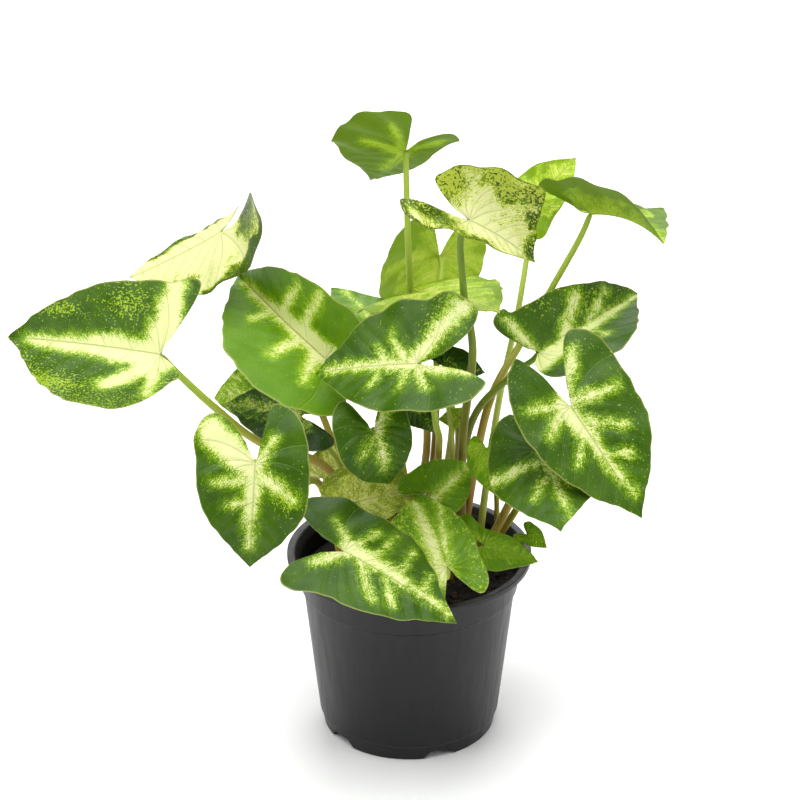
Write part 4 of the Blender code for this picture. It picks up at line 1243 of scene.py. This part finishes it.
    def add_corner(self, place: Vector, vein: Point, tint: Point, spot: Point) -> int:
        """Add a vertex with what the materials read from it.

        Args:
            place: the point, in millimetres.
            vein: its place among the side veins.
            tint: cream level, share of the way to the margin, and 1 on the lower face.
            spot: flat coordinates and seed.

        Returns:
            The vertex's number.
        """
        self.corners.append(place)
        self.veins.append(vein)
        self.tints.append(tint)
        self.spots.append(spot)
        return len(self.corners) - 1

    def build_blade(self) -> None:
        """Build the upper face, the lower face with its ribs, and the thin edge."""
        space = self.space()
        known: dict[tuple[float, float], int] = {}
        flats: list[tuple[float, float]] = []
        top: list[tuple[int, ...]] = []
        for half, side in ((self.leaf.left, 1.0), (self.leaf.right, -1.0)):
            grid = []
            for spine, margin in self.rows(half):
                row = []
                for step in range(self.across + 1):
                    share = (step / self.across) ** self.crowding
                    flat = spine.lerp(margin, share)
                    key = (round(flat.x, 4), round(side * flat.y, 4))
                    if key not in known:
                        vein = self.vein_place(flat)
                        level = self.cream_level(flat, side, share, vein)
                        bent = space @ self.bend(half, side, flat, vein, share)
                        self.specks.append(self.speck_level(flat, side, share))
                        known[key] = self.add_corner(
                            bent, vein, (level, share, 0.0),
                            (flat.x, side * flat.y, self.seed))
                        flats.append((flat.x, flat.y))
                    row.append(known[key])
                grid.append(row)
            for row, after in zip(grid, grid[1:]):
                for step in range(self.across):
                    square = (row[step], row[step + 1], after[step + 1], after[step])
                    face = tuple(dict.fromkeys(square))
                    if len(face) > 2:
                        top.append(face if side > 0 else face[::-1])
        normals = [Vector((0.0, 0.0, 0.0)) for _ in self.corners]
        for face in top:
            a, b, c = (self.corners[corner] for corner in face[:3])
            normal = (b - a).cross(c - a)
            for corner in face:
                normals[corner] += normal
        count = len(self.corners)
        length = self.leaf.length
        for number in range(count):
            x, y = flats[number]
            vein, tint, spot = self.veins[number], self.tints[number], self.spots[number]
            near = y if x >= 0.0 else math.hypot(x, y)
            slim = max(0.0, 1.0 - x / length) if x >= 0.0 else 1.0
            rib = self.rib_height * slim * math.exp(-(near / self.rib_width) ** 2)
            side_rib = (self.side_rib * (1.0 - tint[1])
                        * math.cos(math.pi * vein[0]) ** self.side_sharp)
            deep = self.thickness * (1.0 - self.thinning * tint[1]) + max(rib, side_rib)
            place = self.corners[number] - normals[number].normalized() * deep
            self.add_corner(place, vein, (tint[0], tint[1], 1.0), spot)
        used: dict[tuple[int, int], int] = {}
        for face in top:
            for start, end in zip(face, face[1:] + face[:1]):
                used[(start, end)] = used.get((start, end), 0) + 1
        edges = [pair for pair in used if (pair[1], pair[0]) not in used]
        self.faces += top
        self.faces += [tuple(corner + count for corner in face[::-1]) for face in top]
        self.faces += [(start, start + count, end + count, end) for start, end in edges]
        self.slots += [0] * (2 * len(top) + len(edges))

    def petiole_path(self) -> list[tuple[Vector, float]]:
        """List points and swellings up the petiole, from its foot in the soil to the blade.

        Returns:
            Each point in millimetres, with its share of the petiole's radius.
        """
        leaf = self.leaf
        turn = self.space().to_3x3()
        up, ahead = turn @ Vector((0, 0, 1)), turn @ Vector((1, 0, 0))
        at = Vector(leaf.at)
        ground = Vector((*leaf.foot, soil_height(*leaf.foot) + 1.0))
        foot = ground - Vector((0, 0, 1.0 + self.hole_depth))
        size = min(1.0, max(self.neck_least, leaf.length / self.neck_full))
        neck = at - up * self.neck_drop * size - ahead * size
        stops = [ground, *(Vector(place) for place in leaf.via), neck]
        if leaf.via:
            first = stops[1] - ground
            start = first * 0.5 + Vector((0, 0, self.bow_rise)) * first.length
        else:
            start = Vector((0, 0, 1)) * (neck - ground).length
        arrive = (at - neck).normalized() * (stops[-1] - stops[-2]).length * self.arrive_pull
        slopes = [start]
        slopes += [(after - before) * 0.5 for before, after in zip(stops, stops[2:])]
        slopes.append(arrive)
        spans = len(stops) - 1
        points = [(foot, self.foot_swell)]
        for step in range(self.petiole_steps):
            share = step / (self.petiole_steps - 1)
            span = min(int(share * spans), spans - 1)
            a, b = stops[span], stops[span + 1]
            curve = (a, a + slopes[span] / 3.0, b - slopes[span + 1] / 3.0, b)
            swell = self.foot_swell + (self.top_swell - self.foot_swell) * share
            points.append((bezier(curve, share * spans - span), swell))
        points.append((at - up * self.joint_drop * size - ahead * self.joint_back * size,
                       self.joint_swell))
        points.append((at - up * self.end_drop + ahead * self.end_ahead * size, self.neck))
        return points

    def build_petiole(self) -> None:
        """Build the stalk as a tube along the same path as in the CAD node."""
        path = self.petiole_path()
        across = None
        rings = []
        gone = 0.0
        for number, (place, swell) in enumerate(path):
            ahead = path[min(number + 1, len(path) - 1)][0]
            behind = path[max(number - 1, 0)][0]
            way = (ahead - behind).normalized()
            gone += (place - path[max(number - 1, 0)][0]).length
            across = way.orthogonal() if across is None else across - way * across.dot(way)
            across.normalize()
            other = way.cross(across)
            share = number / (len(path) - 1)
            ring = []
            for step in range(self.petiole_sides):
                angle = 2.0 * math.pi * step / self.petiole_sides
                radius = (self.leaf.radius * swell
                          * (1.0 - self.stalk_oval * math.cos(2.0 * angle)))
                spot = place + (across * math.cos(angle) + other * math.sin(angle)) * radius
                ring.append(self.add_corner(
                    spot, (0.0, 1.0, gone), (0.0, share, 0.0),
                    (self.streak_turn * math.cos(angle), self.streak_turn * math.sin(angle),
                     self.seed + self.streak_run * gone)))
            rings.append(ring)
        for low, high in zip(rings, rings[1:]):
            for step in range(self.petiole_sides):
                after = (step + 1) % self.petiole_sides
                self.faces.append((low[step], low[after], high[after], high[step]))
                self.slots.append(1)
        self.faces += [tuple(rings[0][::-1]), tuple(rings[-1])]
        self.slots += [1, 1]

    def build(self, blade: bpy.types.Material, stalk: bpy.types.Material) -> bpy.types.Object:
        """Build the leaf's object and let it stand for its CAD node.

        Args:
            blade: the blade's material.
            stalk: the stalk's material.

        Returns:
            The finished piece.
        """
        self.build_blade()
        self.build_petiole()
        name = self.leaf.name + "_fine"
        mesh = bpy.data.meshes.new(name)
        mesh.from_pydata([corner * MM for corner in self.corners], [], self.faces)
        for title, values in (("veins", self.veins), ("tint", self.tints),
                              ("spot", self.spots)):
            layer = mesh.attributes.new(title, "FLOAT_VECTOR", "POINT")
            layer.data.foreach_set("vector", [part for value in values for part in value])
        layer = mesh.attributes.new("specks", "FLOAT", "POINT")
        rest = len(self.corners) - 2 * len(self.specks)
        layer.data.foreach_set("value", self.specks * 2 + [0.0] * rest)
        for finish in (blade, stalk):
            mesh.materials.append(finish)
        mesh.polygons.foreach_set("material_index", self.slots)
        mesh.shade_smooth()
        mesh.set_sharp_from_angle(angle=math.radians(self.crease))
        mesh.update()
        piece = bpy.data.objects.new(name, mesh)
        bpy.context.scene.collection.objects.link(piece)
        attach(piece, "root")
        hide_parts(self.leaf.name)
        return piece


def bezier(points: tuple[Vector, ...], share: float) -> Vector:
    """Give the point of a cubic curve.

    Args:
        points: the curve's four points.
        share: how far along it, from 0 to 1.

    Returns:
        The point.
    """
    a, b, c, d = points
    rest = 1.0 - share
    return (rest ** 3 * a + 3 * rest * rest * share * b + 3 * rest * share * share * c
            + share ** 3 * d)


def margin_curves(half: Half, length: float) -> tuple[tuple[Vector, ...], ...]:
    """Lay out the margin of a flat half, as the part's source does.

    Args:
        half: the half's sizes.
        length: the midrib's length.

    Returns:
        Curves from tip to shoulder, to the lobe's tip, and to the petiole.
    """
    tip = Vector((length, 0.0))
    shoulder = Vector((half.at, half.width))
    lobe = Vector((-half.back, half.out))
    spread = math.atan2(half.out, half.back)
    inward = Vector((-math.sin(spread), -math.cos(spread)))
    reach = lobe.length * half.fullness
    front = length - half.at
    tip_angle = math.radians(half.tip)
    notch = math.radians(half.notch)
    first = (tip, tip + 0.33 * front * Vector((-math.cos(tip_angle), math.sin(tip_angle))),
             shoulder + Vector((0.45 * front, 0.0)), shoulder)
    second = (shoulder, shoulder - Vector((0.5 * (half.at + half.back), 0.0)),
              lobe - reach * inward, lobe)
    third = (lobe, lobe + 0.8 * reach * inward,
             0.5 * lobe.length * Vector((-math.cos(notch), math.sin(notch))),
             Vector((0.0, 0.0)))
    return first, second, third


# Pot and soil

POT_BASE_RADIUS = 42.5
SOIL_EDGE_HEIGHT = 82.0
SOIL_CROWN = 2.2
SOIL_CROWN_REACH = 1.2
SOIL_LUMP = 0.8


def soil_height(x: float, y: float) -> float:
    """Give the height of the CAD soil at a place.

    Args:
        x, y: the place, in millimetres.

    Returns:
        The height, in millimetres.
    """
    reach = math.hypot(x, y) / POT_BASE_RADIUS
    crown = SOIL_CROWN * (1.0 - min(reach, SOIL_CROWN_REACH) ** 2 / SOIL_CROWN_REACH ** 2)
    lump = math.sin(0.31 * x + 1.3) * math.sin(0.27 * y + 0.4) + 0.5 * math.sin(0.19 * (x + y))
    return SOIL_EDGE_HEIGHT + crown + SOIL_LUMP * lump


@dataclass
class NurseryPot:
    """Round tapered nursery pot with a flanged rim and drainage channels under its base.

    Attributes:
        rim_radius, rim_top, rim_depth, rim_wall: the flanged rim.
        rim_slope, rim_run: depth and width of the slope from the wall up to the rim.
        collar_top, collar_radius, collar_height, collar_step: the collar under the rim.
        foot_radius, foot_height, foot_step: the narrower foot.
        base_radius, base_edge: the base and the chamfer round it.
        wall, floor_top: thickness of the wall, and height of the floor inside.
        segments, corner_steps: faces round the pot, and across a rounded corner.
        channel_count, channel_first: drainage channels, and the angle of the first.
        channel_start, channel_over: where channels start, and how far the tool runs past.
        channel_low, channel_high, channel_height: a channel's section.
        drain_radius, drain_ring, drain_middle, drain_depth, drain_sides: the drain holes.
        crease: least angle of a sharp edge, in degrees.
        finish: the pot's material.
    """
    rim_radius: float = 60.0
    rim_top: float = 94.0
    rim_depth: float = 3.0
    rim_wall: float = 1.5
    rim_slope: float = 4.0
    rim_run: float = 2.9
    collar_top: float = 54.4
    collar_radius: float = 53.2
    collar_height: float = 76.8
    collar_step: float = 1.3
    foot_radius: float = 44.5
    foot_height: float = 8.5
    foot_step: float = 0.7
    base_radius: float = POT_BASE_RADIUS
    base_edge: float = 0.6
    wall: float = 1.4
    floor_top: float = 6.0
    segments: int = 180
    corner_steps: int = 4
    channel_count: int = 5
    channel_first: float = -69.0
    channel_start: float = 15.0
    channel_over: float = 8.0
    channel_low: float = 17.0
    channel_high: float = 10.0
    channel_height: float = 4.4
    drain_radius: float = 3.5
    drain_ring: float = 29.0
    drain_middle: float = 5.2
    drain_depth: float = 6.4
    drain_sides: int = 32
    crease: float = 32.0
    finish: MouldedPolypropylene = MouldedPolypropylene()

    def profile(self) -> list[tuple[float, float, float]]:
        """Lay out the wall's section, from the floor's middle round to the base's.

        Returns:
            Its corners as (radius, height, rounding), in millimetres.
        """
        top = self.collar_top - self.wall
        inside = self.rim_radius - self.rim_wall
        return [
            (0.0, self.floor_top, 0.0),
            (self.foot_radius - self.wall, self.floor_top, 1.0),
            (top, self.rim_top - self.rim_slope, 1.2),
            (top + self.rim_run, self.rim_top - 0.35, 1.0),
            (self.rim_radius - 0.25, self.rim_top, 0.55),
            (self.rim_radius - 0.3, self.rim_top - self.rim_depth, 0.3),
            (inside - 0.3, self.rim_top - self.rim_depth, 0.3),
            (inside, self.rim_top - self.rim_wall, 0.4),
            (self.collar_top, self.rim_top - self.rim_wall - 0.6, 0.6),
            (self.collar_radius, self.collar_height, 0.35),
            (self.collar_radius - self.collar_step, self.collar_height - self.collar_step, 0.4),
            (self.foot_radius, self.foot_height, 0.3),
            (self.foot_radius - self.foot_step, self.foot_height - self.foot_step, 0.3),
            (self.base_radius, self.base_edge, 0.35),
            (self.base_radius - self.base_edge, 0.0, 0.35),
            (0.0, 0.0, 0.0),
        ]

    def rounded(self) -> list[tuple[float, float]]:
        """Round each corner of the section off.

        Returns:
            The section's points as (radius, height).
        """
        points = [(Vector((radius, height)), bend) for radius, height, bend in self.profile()]
        line = [points[0][0]]
        for (before, _), (corner, bend), (after, _) in zip(points, points[1:], points[2:]):
            start = corner + (before - corner).normalized() * bend
            end = corner + (after - corner).normalized() * bend
            for step in range(self.corner_steps + 1):
                share = step / self.corner_steps
                line.append(start.lerp(corner, share).lerp(corner.lerp(end, share), share))
        line.append(points[-1][0])
        return [(point.x, point.y) for point in line]

    def turned(self) -> bpy.types.Object:
        """Turn the section round the axis.

        Returns:
            The pot before its channels are cut.
        """
        shape = bmesh.new()
        rings = []
        for radius, height in self.rounded():
            count = self.segments if radius > 0.0 else 1
            rings.append([shape.verts.new((
                radius * math.cos(2.0 * math.pi * step / self.segments) * MM,
                radius * math.sin(2.0 * math.pi * step / self.segments) * MM,
                height * MM)) for step in range(count)])
        bridge(shape, rings, self.segments)
        bmesh.ops.recalc_face_normals(shape, faces=shape.faces)
        return link_mesh("pot_fine", shape)

    def cutter(self) -> list[bpy.types.Object]:
        """Build the bars and drain holes that are cut from the base.

        Returns:
            The bars' object and the drain holes' object.
        """
        bars, drains = bmesh.new(), bmesh.new()
        length = self.base_radius + self.channel_over - self.channel_start
        slope = (self.channel_low - self.channel_high) / self.channel_height
        for number in range(self.channel_count):
            angle = math.radians(self.channel_first) + 2.0 * math.pi * number / self.channel_count
            turn = Matrix.Rotation(angle, 4, "Z")
            bar = bmesh.ops.create_cube(bars, size=1.0)["verts"]
            for corner in bar:
                height = self.channel_height if corner.co.z > 0 else -1.0
                along = self.channel_start + (corner.co.x + 0.5) * length
                across = corner.co.y * (self.channel_low - slope * height)
                corner.co = Vector((along, across, height)) * MM
            bmesh.ops.transform(bars, matrix=turn, verts=bar)
            drain = bmesh.ops.create_cone(
                drains, cap_ends=True, segments=self.drain_sides,
                radius1=self.drain_radius * MM, radius2=self.drain_radius * MM,
                depth=self.drain_depth * MM)
            place = turn @ Matrix.Translation((self.drain_ring * MM, 0.0,
                                               self.drain_middle * MM))
            bmesh.ops.transform(drains, matrix=place, verts=drain["verts"])
        return [link_mesh("pot_bars", bars), link_mesh("pot_drains", drains)]

    def build(self) -> bpy.types.Object:
        """Build the pot, cut its channels and dress it.

        Returns:
            The finished piece.
        """
        pot = self.turned()
        tools = self.cutter()
        for tool in tools:
            step = pot.modifiers.new(tool.name, "BOOLEAN")
            step.operation = "DIFFERENCE"
            step.solver = "EXACT"
            step.object = tool
        apply_modifiers(pot)
        for tool in tools:
            bpy.data.objects.remove(tool, do_unlink=True)
        pot.data.shade_smooth()
        pot.data.set_sharp_from_angle(angle=math.radians(self.crease))
        pot.data.materials.clear()
        pot.data.materials.append(self.finish.material())
        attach(pot, "root")
        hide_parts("pot")
        return pot


@dataclass
class SoilPlug:
    """Soil that fills the pot, lumpy on top, with loose crumbs and bits of bark.

    Attributes:
        bottom, foot, slope: height and radius of the plug's base, and its taper.
        shoulder, top_inset: how far the wall ends below the edge, and the top inside it.
        rings, segments: of the top surface.
        sink, lump, lump_scale, grit, grit_scale: how far the surface lies below the CAD one,
            and height and scale per millimetre of its lumps and of the grit on them.
        crumbs, seed, crumb_inset: number, seed and distance from the edge of the crumbs.
        small, large, small_share: sizes of crumbs, and the share of small ones.
        root, root_radius, root_steps, root_sides: the pale root's curve and its tube.
        crease: least angle of a sharp edge, in degrees.
        finish: the soil's material.
    """
    bottom: float = 6.4
    foot: float = 42.7
    slope: float = 0.118
    shoulder: float = 1.5
    top_inset: float = 0.4
    rings: int = 40
    segments: int = 150
    sink: float = 0.5
    lump: float = 0.9
    lump_scale: float = 0.16
    grit: float = 0.5
    grit_scale: float = 0.9
    crumbs: int = 900
    seed: int = 11
    crumb_inset: float = 2.5
    small: tuple[float, float] = (0.35, 1.1)
    large: tuple[float, float] = (1.1, 2.0)
    small_share: float = 0.88
    root: tuple[tuple[float, float], ...] = ((39.5, -33.0), (41.0, -29.0), (45.5, -28.0),
                                             (47.5, -23.0))
    root_radius: float = 0.35
    root_steps: int = 12
    root_sides: int = 6
    crease: float = 50.0
    finish: PottingMix = PottingMix()

    def height(self, x: float, y: float) -> float:
        """Give the fine surface's height.

        Args:
            x, y: the place, in millimetres.

        Returns:
            The height, in millimetres.
        """
        place = Vector((x, y, 0.0))
        rough = (noise.fractal(place * self.lump_scale, 1.0, 2.0, 4)
                 + self.grit * noise.noise(place * self.grit_scale))
        return soil_height(x, y) - self.sink + self.lump * rough

    def build(self) -> bpy.types.Object:
        """Build the plug with its crumbs and dress it.

        Returns:
            The finished piece.
        """
        edge = self.foot + self.slope * (SOIL_EDGE_HEIGHT - self.bottom)
        shape = bmesh.new()
        rings = [[shape.verts.new((0.0, 0.0, self.bottom * MM))]]
        for radius, level in ((self.foot, self.bottom), (edge, SOIL_EDGE_HEIGHT - self.shoulder)):
            rings.append([self.corner(shape, radius, step, level)
                          for step in range(self.segments)])
        for ring in range(self.rings, 0, -1):
            radius = (edge - self.top_inset) * ring / self.rings
            rings.append([self.corner(shape, radius, step) for step in range(self.segments)])
        rings.append([shape.verts.new((0.0, 0.0, self.height(0.0, 0.0) * MM))])
        bridge(shape, rings, self.segments)
        tints = {}
        self.add_crumbs(shape, edge, tints)
        self.add_root(shape, tints)
        bmesh.ops.recalc_face_normals(shape, faces=shape.faces)
        shape.verts.index_update()
        values = [part for corner in shape.verts
                  for part in (tints.get(corner, 0.0), 0.0, 0.0)]
        soil = link_mesh("soil_fine", shape)
        layer = soil.data.attributes.new("tint", "FLOAT_VECTOR", "POINT")
        layer.data.foreach_set("vector", values)
        soil.data.shade_smooth()
        soil.data.set_sharp_from_angle(angle=math.radians(self.crease))
        soil.data.materials.append(self.finish.material())
        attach(soil, "root")
        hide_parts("soil")
        return soil

    def corner(self, shape: bmesh.types.BMesh, radius: float, step: int,
               level: float | None = None) -> bmesh.types.BMVert:
        """Add a point of a ring, on the lumpy surface unless a level is given.

        Args:
            shape: the mesh.
            radius: the ring's radius.
            step: the point's number round the ring.
            level: the point's height, where it isn't on the surface.

        Returns:
            The new vertex.
        """
        angle = 2.0 * math.pi * step / self.segments
        x, y = radius * math.cos(angle), radius * math.sin(angle)
        z = self.height(x, y) if level is None else level
        return shape.verts.new((x * MM, y * MM, z * MM))

    def add_root(self, shape: bmesh.types.BMesh, tints: dict[bmesh.types.BMVert, float]) -> None:
        """Lay the pale root over the surface, as a tube.

        Args:
            shape: the soil's mesh.
            tints: filled with 2 for each of its corners.
        """
        curve = tuple(Vector((x, y, 0.0)) for x, y in self.root)
        rings = []
        for number in range(self.root_steps + 1):
            spot = bezier(curve, number / self.root_steps)
            spot.z = self.height(spot.x, spot.y) + 0.5 + 0.5 * math.sin(number / 3.0)
            way = (bezier(curve, (number + 1) / self.root_steps)
                   - bezier(curve, number / self.root_steps))
            across = Vector((-way.y, way.x, 0.0)).normalized()
            rings.append([shape.verts.new((spot + self.root_radius * (
                across * math.cos(angle) + Vector((0, 0, math.sin(angle))))) * MM)
                for angle in (math.tau * step / self.root_sides
                              for step in range(self.root_sides))])
        bridge(shape, rings, self.root_sides)
        shape.faces.new(rings[0][::-1])
        shape.faces.new(rings[-1])
        tints.update((corner, 2.0) for ring in rings for corner in ring)

    def add_crumbs(self, shape: bmesh.types.BMesh, edge: float,
                   tints: dict[bmesh.types.BMVert, float]) -> None:
        """Strew crumbs of peat and bark over the surface.

        Args:
            shape: the soil's mesh.
            edge: radius that they stay inside.
            tints: filled with how brown each crumb's corners are.
        """
        draw = random.Random(self.seed)
        for _ in range(self.crumbs):
            reach = (edge - self.crumb_inset) * math.sqrt(draw.random())
            angle = draw.uniform(0.0, 2.0 * math.pi)
            x, y = reach * math.cos(angle), reach * math.sin(angle)
            size = draw.uniform(*(self.small if draw.random() < self.small_share
                                  else self.large))
            crumb = bmesh.ops.create_icosphere(shape, subdivisions=1, radius=size * MM)["verts"]
            tint = draw.random() ** 3
            turn = Matrix.Rotation(draw.uniform(0.0, 6.3), 4, "Z")
            squash = Matrix.Diagonal((draw.uniform(0.8, 1.7), 1.0, draw.uniform(0.4, 0.9), 1.0))
            place = Matrix.Translation(Vector((x, y, self.height(x, y) + 0.25 * size)) * MM)
            for corner in crumb:
                corner.co *= draw.uniform(0.75, 1.2)
                tints[corner] = tint
            bmesh.ops.transform(shape, matrix=place @ turn @ squash, verts=crumb)


def bridge(shape: bmesh.types.BMesh, rings: list[list[bmesh.types.BMVert]],
           sides: int) -> None:
    """Join each ring to the next with faces.

    Args:
        shape: the mesh.
        rings: the rings, each with that many corners, or with one where it is a point.
        sides: corners round a ring.
    """
    for low, high in zip(rings, rings[1:]):
        for step in range(sides):
            after = (step + 1) % sides
            corners = (low[step % len(low)], low[after % len(low)],
                       high[after % len(high)], high[step % len(high)])
            shape.faces.new(list(dict.fromkeys(corners)))


def link_mesh(name: str, shape: bmesh.types.BMesh) -> bpy.types.Object:
    """Make an object from a bmesh, free the bmesh and link the object.

    Args:
        name: the object's name.
        shape: the bmesh.

    Returns:
        The object.
    """
    mesh = bpy.data.meshes.new(name)
    shape.to_mesh(mesh)
    shape.free()
    item = bpy.data.objects.new(name, mesh)
    bpy.context.scene.collection.objects.link(item)
    return item


def apply_modifiers(item: bpy.types.Object) -> None:
    """Swap an object's mesh for what its modifiers make of it.

    Args:
        item: the object.
    """
    graph = bpy.context.evaluated_depsgraph_get()
    mesh = bpy.data.meshes.new_from_object(item.evaluated_get(graph))
    item.modifiers.clear()
    item.data = mesh


# Studio


@dataclass
class Studio:
    """Pale floor, soft lights and the camera at the photograph's angle.

    Attributes:
        camera_at, camera_down, camera_turn: the camera's place in metres and its angles.
        lens, sensor: its focal length and its sensor's width, in millimetres.
        floor_half: half the floor's width, in metres.
        aim: what the lights face, in metres.
        sky: strength of the even light all round.
        softboxes: name, place and width in metres, and power in watts.
    """
    camera_at: Point = (0.0, -1.2, 0.749)
    camera_down: float = 25.56
    camera_turn: float = 0.215
    lens: float = 125.7
    sensor: float = 36.0
    floor_half: float = 6.0
    aim: Point = (0.0, 0.0, 0.16)
    sky: float = 0.24
    softboxes: tuple[tuple[str, Point, float, float], ...] = (
        ("softbox_above", (-0.2, -0.2, 2.2), 2.4, 84.0),
        ("softbox_left", (-1.9, -0.9, 0.9), 1.2, 15.0),
        ("softbox_right", (1.9, -0.7, 0.8), 1.2, 13.0),
        ("softbox_behind", (0.2, 1.9, 1.5), 1.6, 26.0))

    def build(self) -> None:
        """Build the floor, the lights, the surroundings and the camera."""
        self.build_floor()
        for box in self.softboxes:
            self.build_light(*box)
        world = bpy.data.worlds.new("studio")
        bpy.context.scene.world = world
        world.use_nodes = True
        sky = world.node_tree.nodes["Background"]
        sky.inputs["Color"].default_value = linear("ffffff")
        sky.inputs["Strength"].default_value = self.sky
        bpy.context.scene.view_settings.view_transform = "Standard"
        lens = bpy.data.cameras.new("camera")
        lens.lens = self.lens
        lens.sensor_width = self.sensor
        camera = bpy.data.objects.new("camera", lens)
        camera.location = self.camera_at
        camera.rotation_euler = (math.radians(90.0 - self.camera_down), 0.0,
                                 math.radians(self.camera_turn))
        bpy.context.scene.collection.objects.link(camera)
        bpy.context.scene.camera = camera

    def build_floor(self) -> None:
        """Lay the floor and paint it matt white."""
        half = self.floor_half
        mesh = bpy.data.meshes.new("floor")
        mesh.from_pydata([(-half, -half, 0.0), (half, -half, 0.0), (half, half, 0.0),
                          (-half, half, 0.0)], [], [(0, 1, 2, 3)])
        floor = bpy.data.objects.new("floor", mesh)
        material = empty_material("matt_white_paper")
        surface = add_node(material.node_tree, "ShaderNodeBsdfPrincipled",
                           {"Base Color": linear("fcfcfc"), "Roughness": 0.9,
                            "Specular IOR Level": 0.1})
        add_node(material.node_tree, "ShaderNodeOutputMaterial", {0: surface.outputs[0]})
        mesh.materials.append(material)
        bpy.context.scene.collection.objects.link(floor)

    def build_light(self, name: str, at: Point, size: float, power: float) -> None:
        """Hang a square soft light that faces the plant.

        Args:
            name: the light's name.
            at: its place, in metres.
            size: its width, in metres.
            power: its strength, in watts.
        """
        lamp = bpy.data.lights.new(name, "AREA")
        lamp.size = size
        lamp.energy = power
        item = bpy.data.objects.new(name, lamp)
        item.location = at
        aim = Vector(self.aim) - Vector(at)
        item.rotation_euler = aim.to_track_quat("-Z", "Y").to_euler()
        bpy.context.scene.collection.objects.link(item)


class Plant:
    """All the leaves of the plant, with the materials that they share."""

    def __init__(self) -> None:
        """Make each finish once."""
        self.blades = {tone: tone.value.material() for tone in Tone}
        self.stalks = {stalk: stalk.value.material() for stalk in Stalk}

    def build(self) -> None:
        """Build every leaf and report it."""
        for number, leaf in enumerate(LEAVES):
            look = LOOKS[leaf.name]
            builder = LeafBuilder(leaf, look, 37.0 * number)
            piece = builder.build(self.blades[look.tone], self.stalks[look.stalk])
            LOG.info("%s: %d faces", piece.name, len(piece.data.polygons))


def main() -> None:
    """Build the pot, the soil, the plant and the studio."""
    logging.basicConfig(level=logging.INFO)
    LOG.info("pot: %d faces", len(NurseryPot().build().data.polygons))
    LOG.info("soil: %d faces", len(SoilPlug().build().data.polygons))
    Plant().build()
    Studio().build()


if __name__ == "__main__":
    main()
